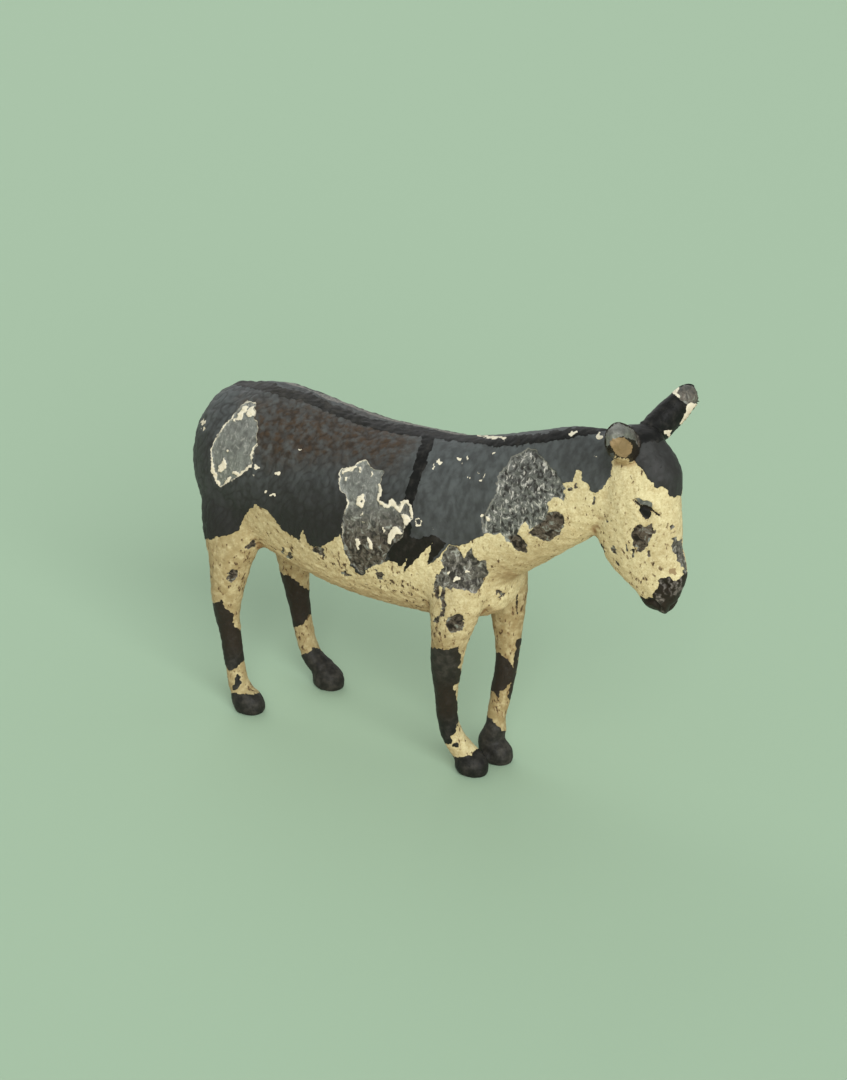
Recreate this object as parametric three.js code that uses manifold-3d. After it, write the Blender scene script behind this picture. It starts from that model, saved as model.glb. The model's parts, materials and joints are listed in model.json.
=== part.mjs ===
// Standing donkey figurine in cast white metal: a hollow body in two half shells, with solid legs,
// ears and tail that plug into it on cast spigots and are soldered there.
// Millimetres, +X towards the nose, +Y to the animal's left, +Z up, standing on Z = 0.
import * as THREE from "three";
import { mergeVertices } from "three/addons/utils/BufferGeometryUtils.js";
import Module from "manifold-3d";

const wasm = await Module();
wasm.setup();

// Driving dimensions: castings and joints
const WALL = 1.5; // thickness of the hollow body
const SOLDER_GAP = 0.3; // between two castings, filled with solder on the real object
const SPIGOT_CLEARANCE = 0.3; // between a spigot and its hole, all round
const LEG_SPIGOT_DIAMETER = 2.4;
const LEG_SPIGOT_LENGTH = 10.5; // from inside the leg to its tip in the hollow body
const EAR_SPIGOT_DIAMETER = 1.2;
const EAR_SPIGOT_LENGTH = 4.8;
const TAIL_SPIGOT_DIAMETER = 1.2;
const TAIL_SPIGOT_LENGTH = 5.2;

// Driving dimensions: stance, measured between the middles of the soles
const HIND_STANCE = 14;
const FORE_HOOF_GAP = 0.6; // the fore hooves stand almost touching
const WHEELBASE = 38.5; // hind soles to fore soles
const HIND_STRIDE = 5.6; // how far the left hind sole is ahead of the right
const FORE_STRIDE = 1.0; // how far the left fore sole is ahead of the right

// Driving dimensions: trunk
const HIP_OVERHANG = 6; // the trunk's first section is this far behind the hind soles
const CHEST_OVERHANG = 1; // the trunk's last section is this far ahead of the fore soles
const TRUNK_LENGTH = HIP_OVERHANG + WHEELBASE + CHEST_OVERHANG;
const BELLY_HEIGHT = 24.6; // the lowest belly line above the ground
const TRUNK_DEPTH = 30.6; // from that line to the top of the rump
const BACK_HEIGHT = BELLY_HEIGHT + TRUNK_DEPTH;
const TRUNK_HALF_WIDTH = 10.7; // at the belly
const RUMP_REACH = 9.8; // the rump rounds out this far behind the first section
const CHEST_REACH = 4; // the chest rounds out this far before the last section

// Driving dimensions: neck and head
const NECK_SET_BACK = 10.5; // the neck's root is this far behind the trunk's last section
const NECK_DROP = 15.8; // the neck's root is this far below the back
const NECK_LENGTH = 34; // level distance from the root to the head
const NECK_RISE = 17.5;
const NECK_HALF_WIDTH = 8;
const NECK_CREST = 12.2; // reach over the neck's spine
const NECK_THROAT = 11.4; // reach under it
const POLL_FORWARD = 0.8; // the poll, ahead of the neck's end
const POLL_RISE = 4.3; // the poll, above the neck's end
const HEAD_LENGTH = 22.2; // upright distance from the poll to the muzzle
const HEAD_LEAN = 5.8; // how far the muzzle is ahead of the poll
const HEAD_HALF_WIDTH = 5;
const HEAD_FACE = 6.8; // reach before the head's spine
const HEAD_JAW = 8; // reach behind it
const POLL_REACH = 3;
const MUZZLE_REACH = 2.4;

// Driving dimensions: ears and tail
const EAR_SPACING = 4.4; // between the roots of the ears
const EAR_FORWARD = 0.9; // the roots, ahead of the poll
const EAR_LIFT = 0.5; // the roots, above the poll
const EAR_LEAN = 2.4; // how far the tip is ahead of the root
const EAR_SPREAD = 7.4; // how far the tip is outside the root
const EAR_RISE = 5.2; // how far the tip is above the root
const EAR_HALF_THICKNESS = 1.8;
const EAR_HALF_BREADTH = 2.4;
const EAR_TIP_REACH = 1.7;
const TAIL_DROP = 6.8; // the tail's root is this far below the back
const TAIL_SET_IN = 3; // the tail's root is this far inside the rump's rearmost point
const TAIL_LENGTH = 16.9;
const TAIL_BOW = 3.3; // how far the tail stands out behind its root
const TAIL_HALF_WIDTH = 1.4;
const TAIL_HALF_DEPTH = 1.2;
const TUFT_REACH = 3;

// Driving dimensions: legs and hooves
const THIGH_HALF_WIDTH = 4.2;
const THIGH_HALF_DEPTH = 7.6;
const SHOULDER_HALF_WIDTH = 3.8;
const SHOULDER_HALF_DEPTH = 5.6;
const HOOF_HEIGHT = 3;
const HOOF_WIDEST = 1.1; // height at which the hoof is widest
const HOOF_HALF_WIDTH = 2.4;
const HOOF_TOE = 3.0; // from the middle of the hoof to the toe
const HOOF_HEEL = 2.6;
const SOLE_HALF_WIDTH = 1.8; // the hoof rounds in to a small flat sole
const SOLE_TOE = 2.4;
const SOLE_HEEL = 1.9;
const SOLE_TRIM = 0.2; // cut off under the sole to leave it flat
const CORONET_HALF_WIDTH = 1.9; // where the hoof meets the pastern
const CORONET_SET_BACK = 1.1; // the hoof leans forward from the coronet by this much
const FORE_STANCE = 2 * HOOF_HALF_WIDTH + FORE_HOOF_GAP;
const LEG_SPAN = BELLY_HEIGHT - HOOF_HEIGHT;

// How finely the forms are divided
const BODY_SIDES = 30;
const HOLLOW_SIDES = 14;
const LEG_SIDES = 16;
const EAR_SIDES = 14;
const TAIL_SIDES = 10;
const SPIGOT_SIDES = 10;
const DOME_STEPS = 5;
const HOLLOW_RINGS_SHARE = 0.5; // the hollow has fewer rings than the skin
const THINNEST = 0.2; // where a thick wall would close the hollow
const FAR = 400; // larger than the figurine, for cutting with half spaces

// Each form is drawn in shares of its own named sizes: places count from its start, and half widths and
// reaches over and under its spine count from its girth.
function drawn({ start, size, girth, sections, ...rest }) {
  return {
    ...rest,
    sections: sections.map(({ at, half, over, under }) => ({
      at: at.map((share, axis) => start[axis] + share * size[axis]),
      half: half * girth.half,
      over: over * girth.over,
      under: under * girth.under,
    })),
  };
}

// A trunk section stands upright across the body, between its back line and its belly line.
const trunkSection = (along, top, bottom, half) => ({
  at: [along, 0, (top + bottom) / 2],
  half,
  over: (top - bottom) / 2,
  under: (top - bottom) / 2,
});

const TRUNK = drawn({
  start: [-HIP_OVERHANG, 0, BELLY_HEIGHT],
  size: [TRUNK_LENGTH, 0, TRUNK_DEPTH],
  girth: { half: TRUNK_HALF_WIDTH, over: TRUNK_DEPTH, under: TRUNK_DEPTH },
  sections: [
    trunkSection(0, 0.961, 0.137, 0.85),
    trunkSection(0.11, 1, 0.092, 0.907),
    trunkSection(0.22, 0.993, 0.069, 0.935),
    trunkSection(0.352, 0.971, 0.026, 0.972),
    trunkSection(0.527, 0.954, 0, 1),
    trunkSection(0.681, 0.964, 0.007, 0.991),
    trunkSection(0.813, 0.984, 0.023, 0.953),
    trunkSection(0.923, 0.997, 0.052, 0.879),
    trunkSection(1, 0.974, 0.111, 0.766),
  ],
  rings: 26,
  startDome: RUMP_REACH,
  endDome: CHEST_REACH,
  pinch: 0.06,
});

// Neck and head sections lie square to their spines, with the crest or the face over the spine.
const NECK_ROOT = [WHEELBASE + CHEST_OVERHANG - NECK_SET_BACK, 0, BACK_HEIGHT - NECK_DROP];
const NECK = drawn({
  start: NECK_ROOT,
  size: [NECK_LENGTH, 0, NECK_RISE],
  girth: { half: NECK_HALF_WIDTH, over: NECK_CREST, under: NECK_THROAT },
  sections: [
    { at: [0, 0, 0], half: 0.95, over: 0.984, under: 0.965 },
    { at: [0.235, 0, 0.229], half: 1, over: 1, under: 1 },
    { at: [0.441, 0, 0.434], half: 0.9, over: 0.893, under: 0.895 },
    { at: [0.647, 0, 0.651], half: 0.738, over: 0.77, under: 0.763 },
    { at: [0.824, 0, 0.846], half: 0.625, over: 0.672, under: 0.684 },
    { at: [1, 0, 1], half: 0.55, over: 0.508, under: 0.614 },
  ],
  rings: 16,
  pinch: 0.2,
});

const POLL = [
  NECK_ROOT[0] + NECK_LENGTH + POLL_FORWARD,
  0,
  NECK_ROOT[2] + NECK_RISE + POLL_RISE,
];
const HEAD = drawn({
  start: POLL,
  size: [HEAD_LEAN, 0, -HEAD_LENGTH],
  girth: { half: HEAD_HALF_WIDTH, over: HEAD_FACE, under: HEAD_JAW },
  sections: [
    { at: [0, 0, 0], half: 0.76, over: 0.765, under: 0.563 },
    { at: [0.207, 0, 0.18], half: 0.98, over: 1, under: 0.75 },
    { at: [0.31, 0, 0.36], half: 1, over: 0.912, under: 0.875 },
    { at: [0.379, 0, 0.541], half: 0.92, over: 0.926, under: 1 },
    { at: [0.552, 0, 0.721], half: 0.78, over: 0.853, under: 0.863 },
    { at: [0.828, 0, 0.883], half: 0.68, over: 0.779, under: 0.55 },
    { at: [1, 0, 1], half: 0.62, over: 0.5, under: 0.375 },
  ],
  rings: 18,
  startDome: POLL_REACH,
  endDome: MUZZLE_REACH,
});

// A leg runs from inside the body down to the coronet, in shares of its span above the hoof, forwards,
// outwards and upwards from its sole. It goes on through the hoof to just below the ground.
const LEG_RINGS = 26;
function leg([x, y], girth, sections) {
  const upper = drawn({
    start: [x, y, HOOF_HEIGHT],
    size: [LEG_SPAN, Math.sign(y) * LEG_SPAN, LEG_SPAN],
    girth,
    sections,
  });
  const coronet = {
    at: [x - CORONET_SET_BACK, y, HOOF_HEIGHT],
    half: CORONET_HALF_WIDTH,
    over: CORONET_HALF_WIDTH,
    under: CORONET_HALF_WIDTH,
  };
  const widest = { at: [x, y, HOOF_WIDEST], half: HOOF_HALF_WIDTH, over: HOOF_TOE, under: HOOF_HEEL };
  const foot = { at: [x, y, -SOLE_TRIM], half: SOLE_HALF_WIDTH, over: SOLE_TOE, under: SOLE_HEEL };
  return { sections: [...upper.sections, coronet, widest, foot], rings: LEG_RINGS };
}

const THIGH = { half: THIGH_HALF_WIDTH, over: THIGH_HALF_DEPTH, under: THIGH_HALF_DEPTH };
const SHOULDER = { half: SHOULDER_HALF_WIDTH, over: SHOULDER_HALF_DEPTH, under: SHOULDER_HALF_DEPTH };
const LEGS = {
  hind_leg_right: leg([-HIND_STRIDE / 2, -HIND_STANCE / 2], THIGH, [
    { at: [-0.102, -0.111, 1.639], half: 1, over: 0.921, under: 1 },
    { at: [-0.111, -0.037, 1.315], half: 0.952, over: 0.711, under: 0.763 },
    { at: [-0.13, 0, 1.037], half: 0.762, over: 0.434, under: 0.461 },
    { at: [-0.157, 0.009, 0.806], half: 0.595, over: 0.342, under: 0.368 },
    { at: [-0.162, 0.009, 0.644], half: 0.476, over: 0.263, under: 0.303 },
    { at: [-0.139, 0.005, 0.435], half: 0.381, over: 0.224, under: 0.224 },
    { at: [-0.116, 0.005, 0.25], half: 0.381, over: 0.211, under: 0.211 },
    { at: [-0.083, 0, 0.083], half: 0.405, over: 0.184, under: 0.237 },
  ]),
  hind_leg_left: leg([HIND_STRIDE / 2, HIND_STANCE / 2], THIGH, [
    { at: [-0.296, -0.111, 1.639], half: 1, over: 0.921, under: 1 },
    { at: [-0.296, -0.046, 1.315], half: 0.952, over: 0.711, under: 0.763 },
    { at: [-0.287, -0.023, 1.037], half: 0.762, over: 0.434, under: 0.461 },
    { at: [-0.278, -0.019, 0.806], half: 0.595, over: 0.342, under: 0.368 },
    { at: [-0.264, -0.019, 0.644], half: 0.476, over: 0.263, under: 0.289 },
    { at: [-0.236, -0.014, 0.435], half: 0.381, over: 0.224, under: 0.224 },
    { at: [-0.204, -0.009, 0.25], half: 0.381, over: 0.211, under: 0.211 },
    { at: [-0.134, -0.005, 0.083], half: 0.405, over: 0.184, under: 0.237 },
  ]),
  fore_leg_right: leg([WHEELBASE - FORE_STRIDE / 2, -FORE_STANCE / 2], SHOULDER, [
    { at: [-0.023, 0.116, 1.593], half: 1, over: 1, under: 1 },
    { at: [-0.019, 0.171, 1.315], half: 0.895, over: 0.821, under: 0.821 },
    { at: [-0.074, 0.171, 0.991], half: 0.711, over: 0.518, under: 0.518 },
    { at: [-0.111, 0.148, 0.759], half: 0.632, over: 0.429, under: 0.446 },
    { at: [-0.134, 0.12, 0.528], half: 0.474, over: 0.321, under: 0.321 },
    { at: [-0.148, 0.083, 0.296], half: 0.421, over: 0.286, under: 0.286 },
    { at: [-0.12, 0.051, 0.139], half: 0.447, over: 0.286, under: 0.304 },
  ]),
  fore_leg_left: leg([WHEELBASE + FORE_STRIDE / 2, FORE_STANCE / 2], SHOULDER, [
    { at: [-0.05, 0.09, 1.54], half: 0.95, over: 0.62, under: 1 },
    { at: [-0.009, 0.153, 1.315], half: 0.895, over: 0.518, under: 0.786 },
    { at: [-0.009, 0.153, 0.944], half: 0.632, over: 0.464, under: 0.464 },
    { at: [0.014, 0.12, 0.644], half: 0.447, over: 0.304, under: 0.321 },
    { at: [-0.005, 0.079, 0.389], half: 0.447, over: 0.286, under: 0.304 },
    { at: [-0.023, 0.042, 0.194], half: 0.395, over: 0.268, under: 0.268 },
    { at: [-0.014, 0.019, 0.093], half: 0.474, over: 0.286, under: 0.321 },
  ]),
};

// The ears spread sideways from inside the head, taller than they are thick. This is the left one.
const EAR = drawn({
  start: [POLL[0] + EAR_FORWARD, EAR_SPACING / 2, POLL[2] + EAR_LIFT],
  size: [EAR_LEAN, EAR_SPREAD, EAR_RISE],
  girth: { half: EAR_HALF_THICKNESS, over: EAR_HALF_BREADTH, under: EAR_HALF_BREADTH },
  sections: [
    { at: [0, 0, 0], half: 0.889, over: 0.875, under: 0.875 },
    { at: [0.292, 0.351, 0.346], half: 1, over: 1, under: 1 },
    { at: [0.667, 0.703, 0.692], half: 0.944, over: 0.958, under: 0.958 },
    { at: [1, 1, 1], half: 0.778, over: 0.792, under: 0.792 },
  ],
  rings: 9,
  endDome: EAR_TIP_REACH,
});

// The tail hangs close against the rump and ends in a tuft.
const TAIL = drawn({
  start: [TAIL_SET_IN - RUMP_REACH - HIP_OVERHANG, 0, BACK_HEIGHT - TAIL_DROP],
  size: [-TAIL_BOW, 0, -TAIL_LENGTH],
  girth: { half: TAIL_HALF_WIDTH, over: TAIL_HALF_DEPTH, under: TAIL_HALF_DEPTH },
  sections: [
    { at: [0, 0, 0], half: 0.857, over: 0.833, under: 0.833 },
    { at: [0.879, 0, 0.249], half: 0.857, over: 0.917, under: 0.917 },
    { at: [1, 0, 0.473], half: 0.786, over: 0.833, under: 0.833 },
    { at: [0.879, 0, 0.746], half: 1, over: 1, under: 1 },
    { at: [0.636, 0, 1], half: 0.929, over: 0.917, under: 0.917 },
  ],
  rings: 14,
  endDome: TUFT_REACH,
});

const FORWARD = new THREE.Vector3(1, 0, 0);
const LEFTWARD = new THREE.Vector3(0, 1, 0);
const UPWARD = new THREE.Vector3(0, 0, 1);

// Joins and cuts
function solidFrom(geometry) {
  return new wasm.Manifold(
    new wasm.Mesh({
      numProp: 3,
      vertProperties: new Float32Array(geometry.getAttribute("position").array),
      triVerts: new Uint32Array(geometry.index.array),
    }),
  );
}

function geometryFrom(solid) {
  const { vertProperties, triVerts } = solid.getMesh();
  const geometry = new THREE.BufferGeometry();
  geometry.setAttribute("position", new THREE.BufferAttribute(vertProperties, 3));
  geometry.setIndex(new THREE.BufferAttribute(triVerts, 1));
  geometry.computeVertexNormals();
  return geometry;
}

function welded(geometry) {
  geometry.deleteAttribute("normal");
  geometry.deleteAttribute("uv");
  return mergeVertices(geometry);
}

// A closed form through a row of sections. Each section is an oval square to the spine, with a half
// width across it and its own reach over and under it. Pinch narrows the oval towards its top, domes
// close the ends, and grow swells the whole form by a wall or a gap.
function loft(form, { sides, across = LEFTWARD, grow = 0, ringsShare = 1 }) {
  const { sections, startDome = 0, endDome = 0, pinch = 0 } = form;
  const rings = Math.round(form.rings * ringsShare);
  const spine = new THREE.CatmullRomCurve3(sections.map((s) => new THREE.Vector3(...s.at)));
  const girth = new THREE.CatmullRomCurve3(sections.map((s) => new THREE.Vector3(s.half, s.over, s.under)));
  const startReach = startDome > 0 ? Math.max(startDome + grow, 0) : 0;
  const endReach = endDome > 0 ? Math.max(endDome + grow, 0) : 0;
  const swollen = (size) => Math.max(size + grow, THINNEST);
  const quarterTurn = (k) => (Math.PI / 2) * (k / DOME_STEPS);
  const positions = [];

  const addRing = (t, along, scale) => {
    const tangent = spine.getTangent(t);
    const side = across.clone().addScaledVector(tangent, -across.dot(tangent)).normalize();
    const over = tangent.clone().cross(side);
    const centre = spine.getPoint(t).addScaledVector(tangent, along);
    const reach = girth.getPoint(t);
    for (let j = 0; j < sides; j++) {
      const angle = (2 * Math.PI * j) / sides;
      const lift = Math.sin(angle) > 0 ? reach.y : reach.z;
      const narrowing = 1 - pinch * Math.sin(angle);
      const point = centre
        .clone()
        .addScaledVector(side, swollen(reach.x * narrowing) * scale * Math.cos(angle))
        .addScaledVector(over, swollen(lift) * scale * Math.sin(angle));
      positions.push(...point.toArray());
    }
  };

  // Each dome is a quarter of an ellipse, closed by a pole.
  if (startReach > 0) {
    for (let k = DOME_STEPS - 1; k > 0; k--) {
      addRing(0, -startReach * Math.sin(quarterTurn(k)), Math.cos(quarterTurn(k)));
    }
  }
  for (let i = 0; i <= rings; i++) {
    addRing(i / rings, 0, 1);
  }
  if (endReach > 0) {
    for (let k = 1; k < DOME_STEPS; k++) {
      addRing(1, endReach * Math.sin(quarterTurn(k)), Math.cos(quarterTurn(k)));
    }
  }
  const startPole = spine.getPoint(0).addScaledVector(spine.getTangent(0), -startReach);
  const endPole = spine.getPoint(1).addScaledVector(spine.getTangent(1), endReach);
  positions.push(...startPole.toArray(), ...endPole.toArray());

  const lastRing = positions.length / 3 - 2 - sides;
  const startIndex = lastRing + sides;
  const endIndex = startIndex + 1;
  const index = [];
  for (let j = 0; j < sides; j++) {
    const next = (j + 1) % sides;
    index.push(startIndex, next, j);
    for (let ring = 0; ring < lastRing; ring += sides) {
      const a = ring + j;
      const b = ring + next;
      index.push(a, b, b + sides, a, b + sides, a + sides);
    }
    index.push(endIndex, lastRing + j, lastRing + next);
  }
  const geometry = new THREE.BufferGeometry();
  geometry.setAttribute("position", new THREE.Float32BufferAttribute(positions, 3));
  geometry.setIndex(index);
  return solidFrom(geometry);
}

// A straight round rod between two points, for a spigot or its hole.
function rod(from, to, diameter) {
  const axis = to.clone().sub(from);
  const geometry = new THREE.CylinderGeometry(diameter / 2, diameter / 2, axis.length(), SPIGOT_SIDES);
  geometry.applyQuaternion(new THREE.Quaternion().setFromUnitVectors(LEFTWARD, axis.clone().normalize()));
  geometry.translate(...from.clone().addScaledVector(axis, 0.5).toArray());
  return solidFrom(welded(geometry));
}

// All space on one side of a level or upright plane, as a large box.
function halfSpace(normal, distance) {
  const geometry = new THREE.BoxGeometry(FAR, FAR, FAR);
  geometry.translate(...normal.clone().multiplyScalar(distance + FAR / 2).toArray());
  return solidFrom(welded(geometry));
}

// The body's outer skin, swollen by a gap or shrunk by the wall.
function bodyForm(grow, sides, ringsShare) {
  return [TRUNK, NECK, HEAD]
    .map((form) => loft(form, { sides, grow, ringsShare }))
    .reduce((whole, form) => whole.add(form));
}

// A spigot runs from inside its casting, out at the seat and into the hollow body.
function spigot(root, direction, length, diameter) {
  const tip = root.clone().addScaledVector(direction.clone().normalize(), length);
  return {
    plug: rod(root, tip, diameter),
    hole: rod(root, tip, diameter + 2 * SPIGOT_CLEARANCE),
  };
}

const sectionPoint = (form, i) => new THREE.Vector3(...form.sections[i].at);
const mirrored = (form) => ({
  ...form,
  sections: form.sections.map((s) => ({ ...s, at: [s.at[0], -s.at[1], s.at[2]] })),
});

// Build
const outside = bodyForm(0, BODY_SIDES);
const keepOut = bodyForm(SOLDER_GAP, BODY_SIDES);
const hollow = bodyForm(-WALL, HOLLOW_SIDES, HOLLOW_RINGS_SHARE);
const aboveGround = halfSpace(UPWARD, 0);
let body = outside.subtract(hollow);
const castings = {};

for (const [name, form] of Object.entries(LEGS)) {
  const root = sectionPoint(form, 2);
  const upward = sectionPoint(form, 1).sub(root);
  const { plug, hole } = spigot(root, upward, LEG_SPIGOT_LENGTH, LEG_SPIGOT_DIAMETER);
  castings[name] = loft(form, { sides: LEG_SIDES }).intersect(aboveGround).subtract(keepOut).add(plug);
  body = body.subtract(hole);
}

for (const [name, form, across] of [
  ["ear_left", EAR, FORWARD],
  ["ear_right", mirrored(EAR), FORWARD.clone().negate()],
]) {
  const root = sectionPoint(form, 1);
  const inward = sectionPoint(form, 0).sub(root);
  const { plug, hole } = spigot(root, inward, EAR_SPIGOT_LENGTH, EAR_SPIGOT_DIAMETER);
  castings[name] = loft(form, { sides: EAR_SIDES, across }).subtract(keepOut).add(plug);
  body = body.subtract(hole);
}

const dockRoot = sectionPoint(TAIL, 1).addScaledVector(FORWARD, -TAIL_HALF_DEPTH / 2);
const dock = spigot(dockRoot, FORWARD, TAIL_SPIGOT_LENGTH, TAIL_SPIGOT_DIAMETER);
castings.tail = loft(TAIL, { sides: TAIL_SIDES }).subtract(keepOut).add(dock.plug);
body = body.subtract(dock.hole);

castings.body_shell_left = body.intersect(halfSpace(LEFTWARD, SOLDER_GAP / 2));
castings.body_shell_right = body.intersect(halfSpace(LEFTWARD.clone().negate(), SOLDER_GAP / 2));

// Cold paint over the metal: grey upper coat on the body, cream on the legs, dark ears and tail.
const PAINT = {
  body: { color: 0x55544f, roughness: 0.7, metalness: 0.1 },
  leg: { color: 0xcdbf8e, roughness: 0.65, metalness: 0.1 },
  ear: { color: 0x3a3530, roughness: 0.7, metalness: 0.1 },
  tail: { color: 0x2f2d2a, roughness: 0.7, metalness: 0.1 },
};

const donkey = new THREE.Group();
for (const [name, solid] of Object.entries(castings)) {
  const finish = Object.keys(PAINT).find((word) => name.includes(word));
  const mesh = new THREE.Mesh(geometryFrom(solid), new THREE.MeshStandardMaterial(PAINT[finish]));
  mesh.name = name;
  donkey.add(mesh);
}

// The origin lies under the middle of the figurine, on the ground.
const middle = new THREE.Box3().setFromObject(donkey).getCenter(new THREE.Vector3());
donkey.position.set(-middle.x, -middle.y, 0);

export default donkey;
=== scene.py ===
# %% [markdown]
# # A cold-painted metal donkey
# The real figurine is a small casting in white metal. It was soldered together from a split hollow body,
# four legs, two ears and a tail, brushed with cream, grey and black paint, and then handled for decades.
# Blender's work here is the skin: soft cast forms, carved features, and paint that has flaked off.

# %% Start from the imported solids
import json
import math

import bpy
import numpy as np
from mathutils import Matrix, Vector, noise
from mathutils.bvhtree import BVHTree

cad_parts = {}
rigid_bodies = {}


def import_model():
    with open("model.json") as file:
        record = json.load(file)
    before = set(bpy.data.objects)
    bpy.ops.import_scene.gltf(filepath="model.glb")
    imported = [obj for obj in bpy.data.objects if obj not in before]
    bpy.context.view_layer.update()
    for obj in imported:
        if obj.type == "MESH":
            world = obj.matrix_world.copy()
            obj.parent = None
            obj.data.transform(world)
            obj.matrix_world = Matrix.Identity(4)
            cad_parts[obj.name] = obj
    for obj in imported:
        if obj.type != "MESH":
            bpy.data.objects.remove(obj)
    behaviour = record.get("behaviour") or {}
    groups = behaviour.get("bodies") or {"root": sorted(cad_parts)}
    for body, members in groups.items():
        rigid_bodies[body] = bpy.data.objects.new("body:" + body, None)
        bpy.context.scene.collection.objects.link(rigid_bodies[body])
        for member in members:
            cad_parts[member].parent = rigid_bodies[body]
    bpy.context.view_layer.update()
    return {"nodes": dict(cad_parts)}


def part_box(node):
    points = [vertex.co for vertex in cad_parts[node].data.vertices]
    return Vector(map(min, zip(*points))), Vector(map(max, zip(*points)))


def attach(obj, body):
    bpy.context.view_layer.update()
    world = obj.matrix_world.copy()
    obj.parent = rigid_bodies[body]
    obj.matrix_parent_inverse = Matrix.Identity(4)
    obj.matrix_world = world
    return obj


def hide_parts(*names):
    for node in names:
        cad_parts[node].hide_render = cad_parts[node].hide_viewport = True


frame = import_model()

MM = 0.001
print("solids loaded:", sorted(frame["nodes"]))

# %% [markdown]
# ## The camera
# The photograph was taken from the animal's right, a little ahead of it and above it. The camera comes
# first because the paint is placed with it: every flake is drawn where the photograph shows it, and the
# same camera carries that drawing onto the surface.

# %% The photograph's viewpoint
PHOTO_WIDTH = 847
PHOTO_HEIGHT = 1080
CAMERA_AZIMUTH = math.radians(35.3)
CAMERA_ELEVATION = math.radians(25.7)
CAMERA_TARGET = np.array((-2.2, 1.47, 35.1))
CAMERA_DISTANCE = 480.0
PIXELS_PER_MM = 6.48
SENSOR = 36.0

towards_camera = np.array((
    math.sin(CAMERA_AZIMUTH) * math.cos(CAMERA_ELEVATION),
    -math.cos(CAMERA_AZIMUTH) * math.cos(CAMERA_ELEVATION),
    math.sin(CAMERA_ELEVATION),
))
picture_right = np.array((math.cos(CAMERA_AZIMUTH), math.sin(CAMERA_AZIMUTH), 0.0))
picture_up = np.cross(towards_camera, picture_right)
camera_place = CAMERA_TARGET + CAMERA_DISTANCE * towards_camera
focal_pixels = PIXELS_PER_MM * CAMERA_DISTANCE


def photo_pixels(points):
    """The photograph's pixel for each point, in millimetres in the object's frame."""
    offset = points - camera_place
    depth = -(offset @ towards_camera)
    across = PHOTO_WIDTH / 2 + focal_pixels * (offset @ picture_right) / depth
    down = PHOTO_HEIGHT / 2 - focal_pixels * (offset @ picture_up) / depth
    return np.column_stack((across, down))


bpy.ops.object.select_all(action="DESELECT")
bpy.ops.object.camera_add(location=Vector(camera_place) * MM)
camera = bpy.context.object
camera.name = "photo_camera"
camera.rotation_euler = Vector(towards_camera).to_track_quat("Z", "Y").to_euler()
camera.data.sensor_width = SENSOR
camera.data.lens = focal_pixels / PHOTO_HEIGHT * SENSOR
camera.data.clip_start = 0.01
bpy.context.scene.camera = camera
print("camera", [round(x, 1) for x in camera_place], "mm, lens", round(camera.data.lens, 1), "mm")

# %% [markdown]
# ## One skin over all the castings
# Solder and thick paint hide every joint on the real figurine, so the skin has to run on smoothly from
# body to leg. The solids are copied, swollen a little so that their solder gaps close, and joined by a
# voxel remesh. Only the outermost sheet is kept, and the swelling is taken off again.

# %% Fuse the castings
SWELL = 0.25
VOXEL = 0.22
MERGE = 0.001


def only(piece):
    """Selects one object and makes it the active one."""
    bpy.ops.object.select_all(action="DESELECT")
    piece.select_set(True)
    bpy.context.view_layer.objects.active = piece


def apply_modifier(piece, kind, **settings):
    """Adds a modifier, sets it and applies it."""
    only(piece)
    modifier = piece.modifiers.new(kind.lower(), kind)
    for name, value in settings.items():
        setattr(modifier, name, value)
    bpy.ops.object.modifier_apply(modifier=modifier.name)


def swollen_copy(node):
    """A copy of a solid with its loose triangles merged, swollen along its normals."""
    copy = bpy.data.objects.new("casting_" + node, frame["nodes"][node].data.copy())
    bpy.context.scene.collection.objects.link(copy)
    copy.data.materials.clear()
    only(copy)
    bpy.ops.object.mode_set(mode="EDIT")
    bpy.ops.mesh.select_all(action="SELECT")
    bpy.ops.mesh.remove_doubles(threshold=MERGE * MM)
    bpy.ops.object.mode_set(mode="OBJECT")
    apply_modifier(copy, "DISPLACE", strength=SWELL * MM, mid_level=0)
    return copy


copies = [swollen_copy(node) for node in sorted(frame["nodes"])]
only(copies[0])
for copy in copies:
    copy.select_set(True)
bpy.ops.object.join()
skin = bpy.context.object
skin.name = "skin"
apply_modifier(skin, "REMESH", mode="VOXEL", voxel_size=VOXEL * MM)


def read_points(piece):
    """Vertex positions in millimetres."""
    flat = np.empty(len(piece.data.vertices) * 3, np.float32)
    piece.data.vertices.foreach_get("co", flat)
    return flat.reshape(-1, 3).astype(float) / MM


def write_points(piece, points):
    piece.data.vertices.foreach_set("co", (points * MM).astype(np.float32).ravel())
    piece.data.update()


def read_normals(piece):
    flat = np.empty(len(piece.data.vertices) * 3, np.float32)
    piece.data.vertex_normals.foreach_get("vector", flat)
    return flat.reshape(-1, 3).astype(float)


only(skin)
bpy.ops.object.mode_set(mode="EDIT")
bpy.ops.mesh.select_mode(type="VERT")
bpy.ops.mesh.select_all(action="DESELECT")
bpy.ops.object.mode_set(mode="OBJECT")
outermost = int(read_points(skin)[:, 0].argmax())
skin.data.vertices[outermost].select = True
bpy.ops.object.mode_set(mode="EDIT")
bpy.ops.mesh.select_linked()
bpy.ops.mesh.select_all(action="INVERT")
bpy.ops.mesh.delete(type="VERT")
bpy.ops.object.mode_set(mode="OBJECT")
apply_modifier(skin, "DISPLACE", strength=-SWELL * MM, mid_level=0)
print("skin:", len(skin.data.vertices), "points,", len(skin.data.polygons), "faces")

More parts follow.
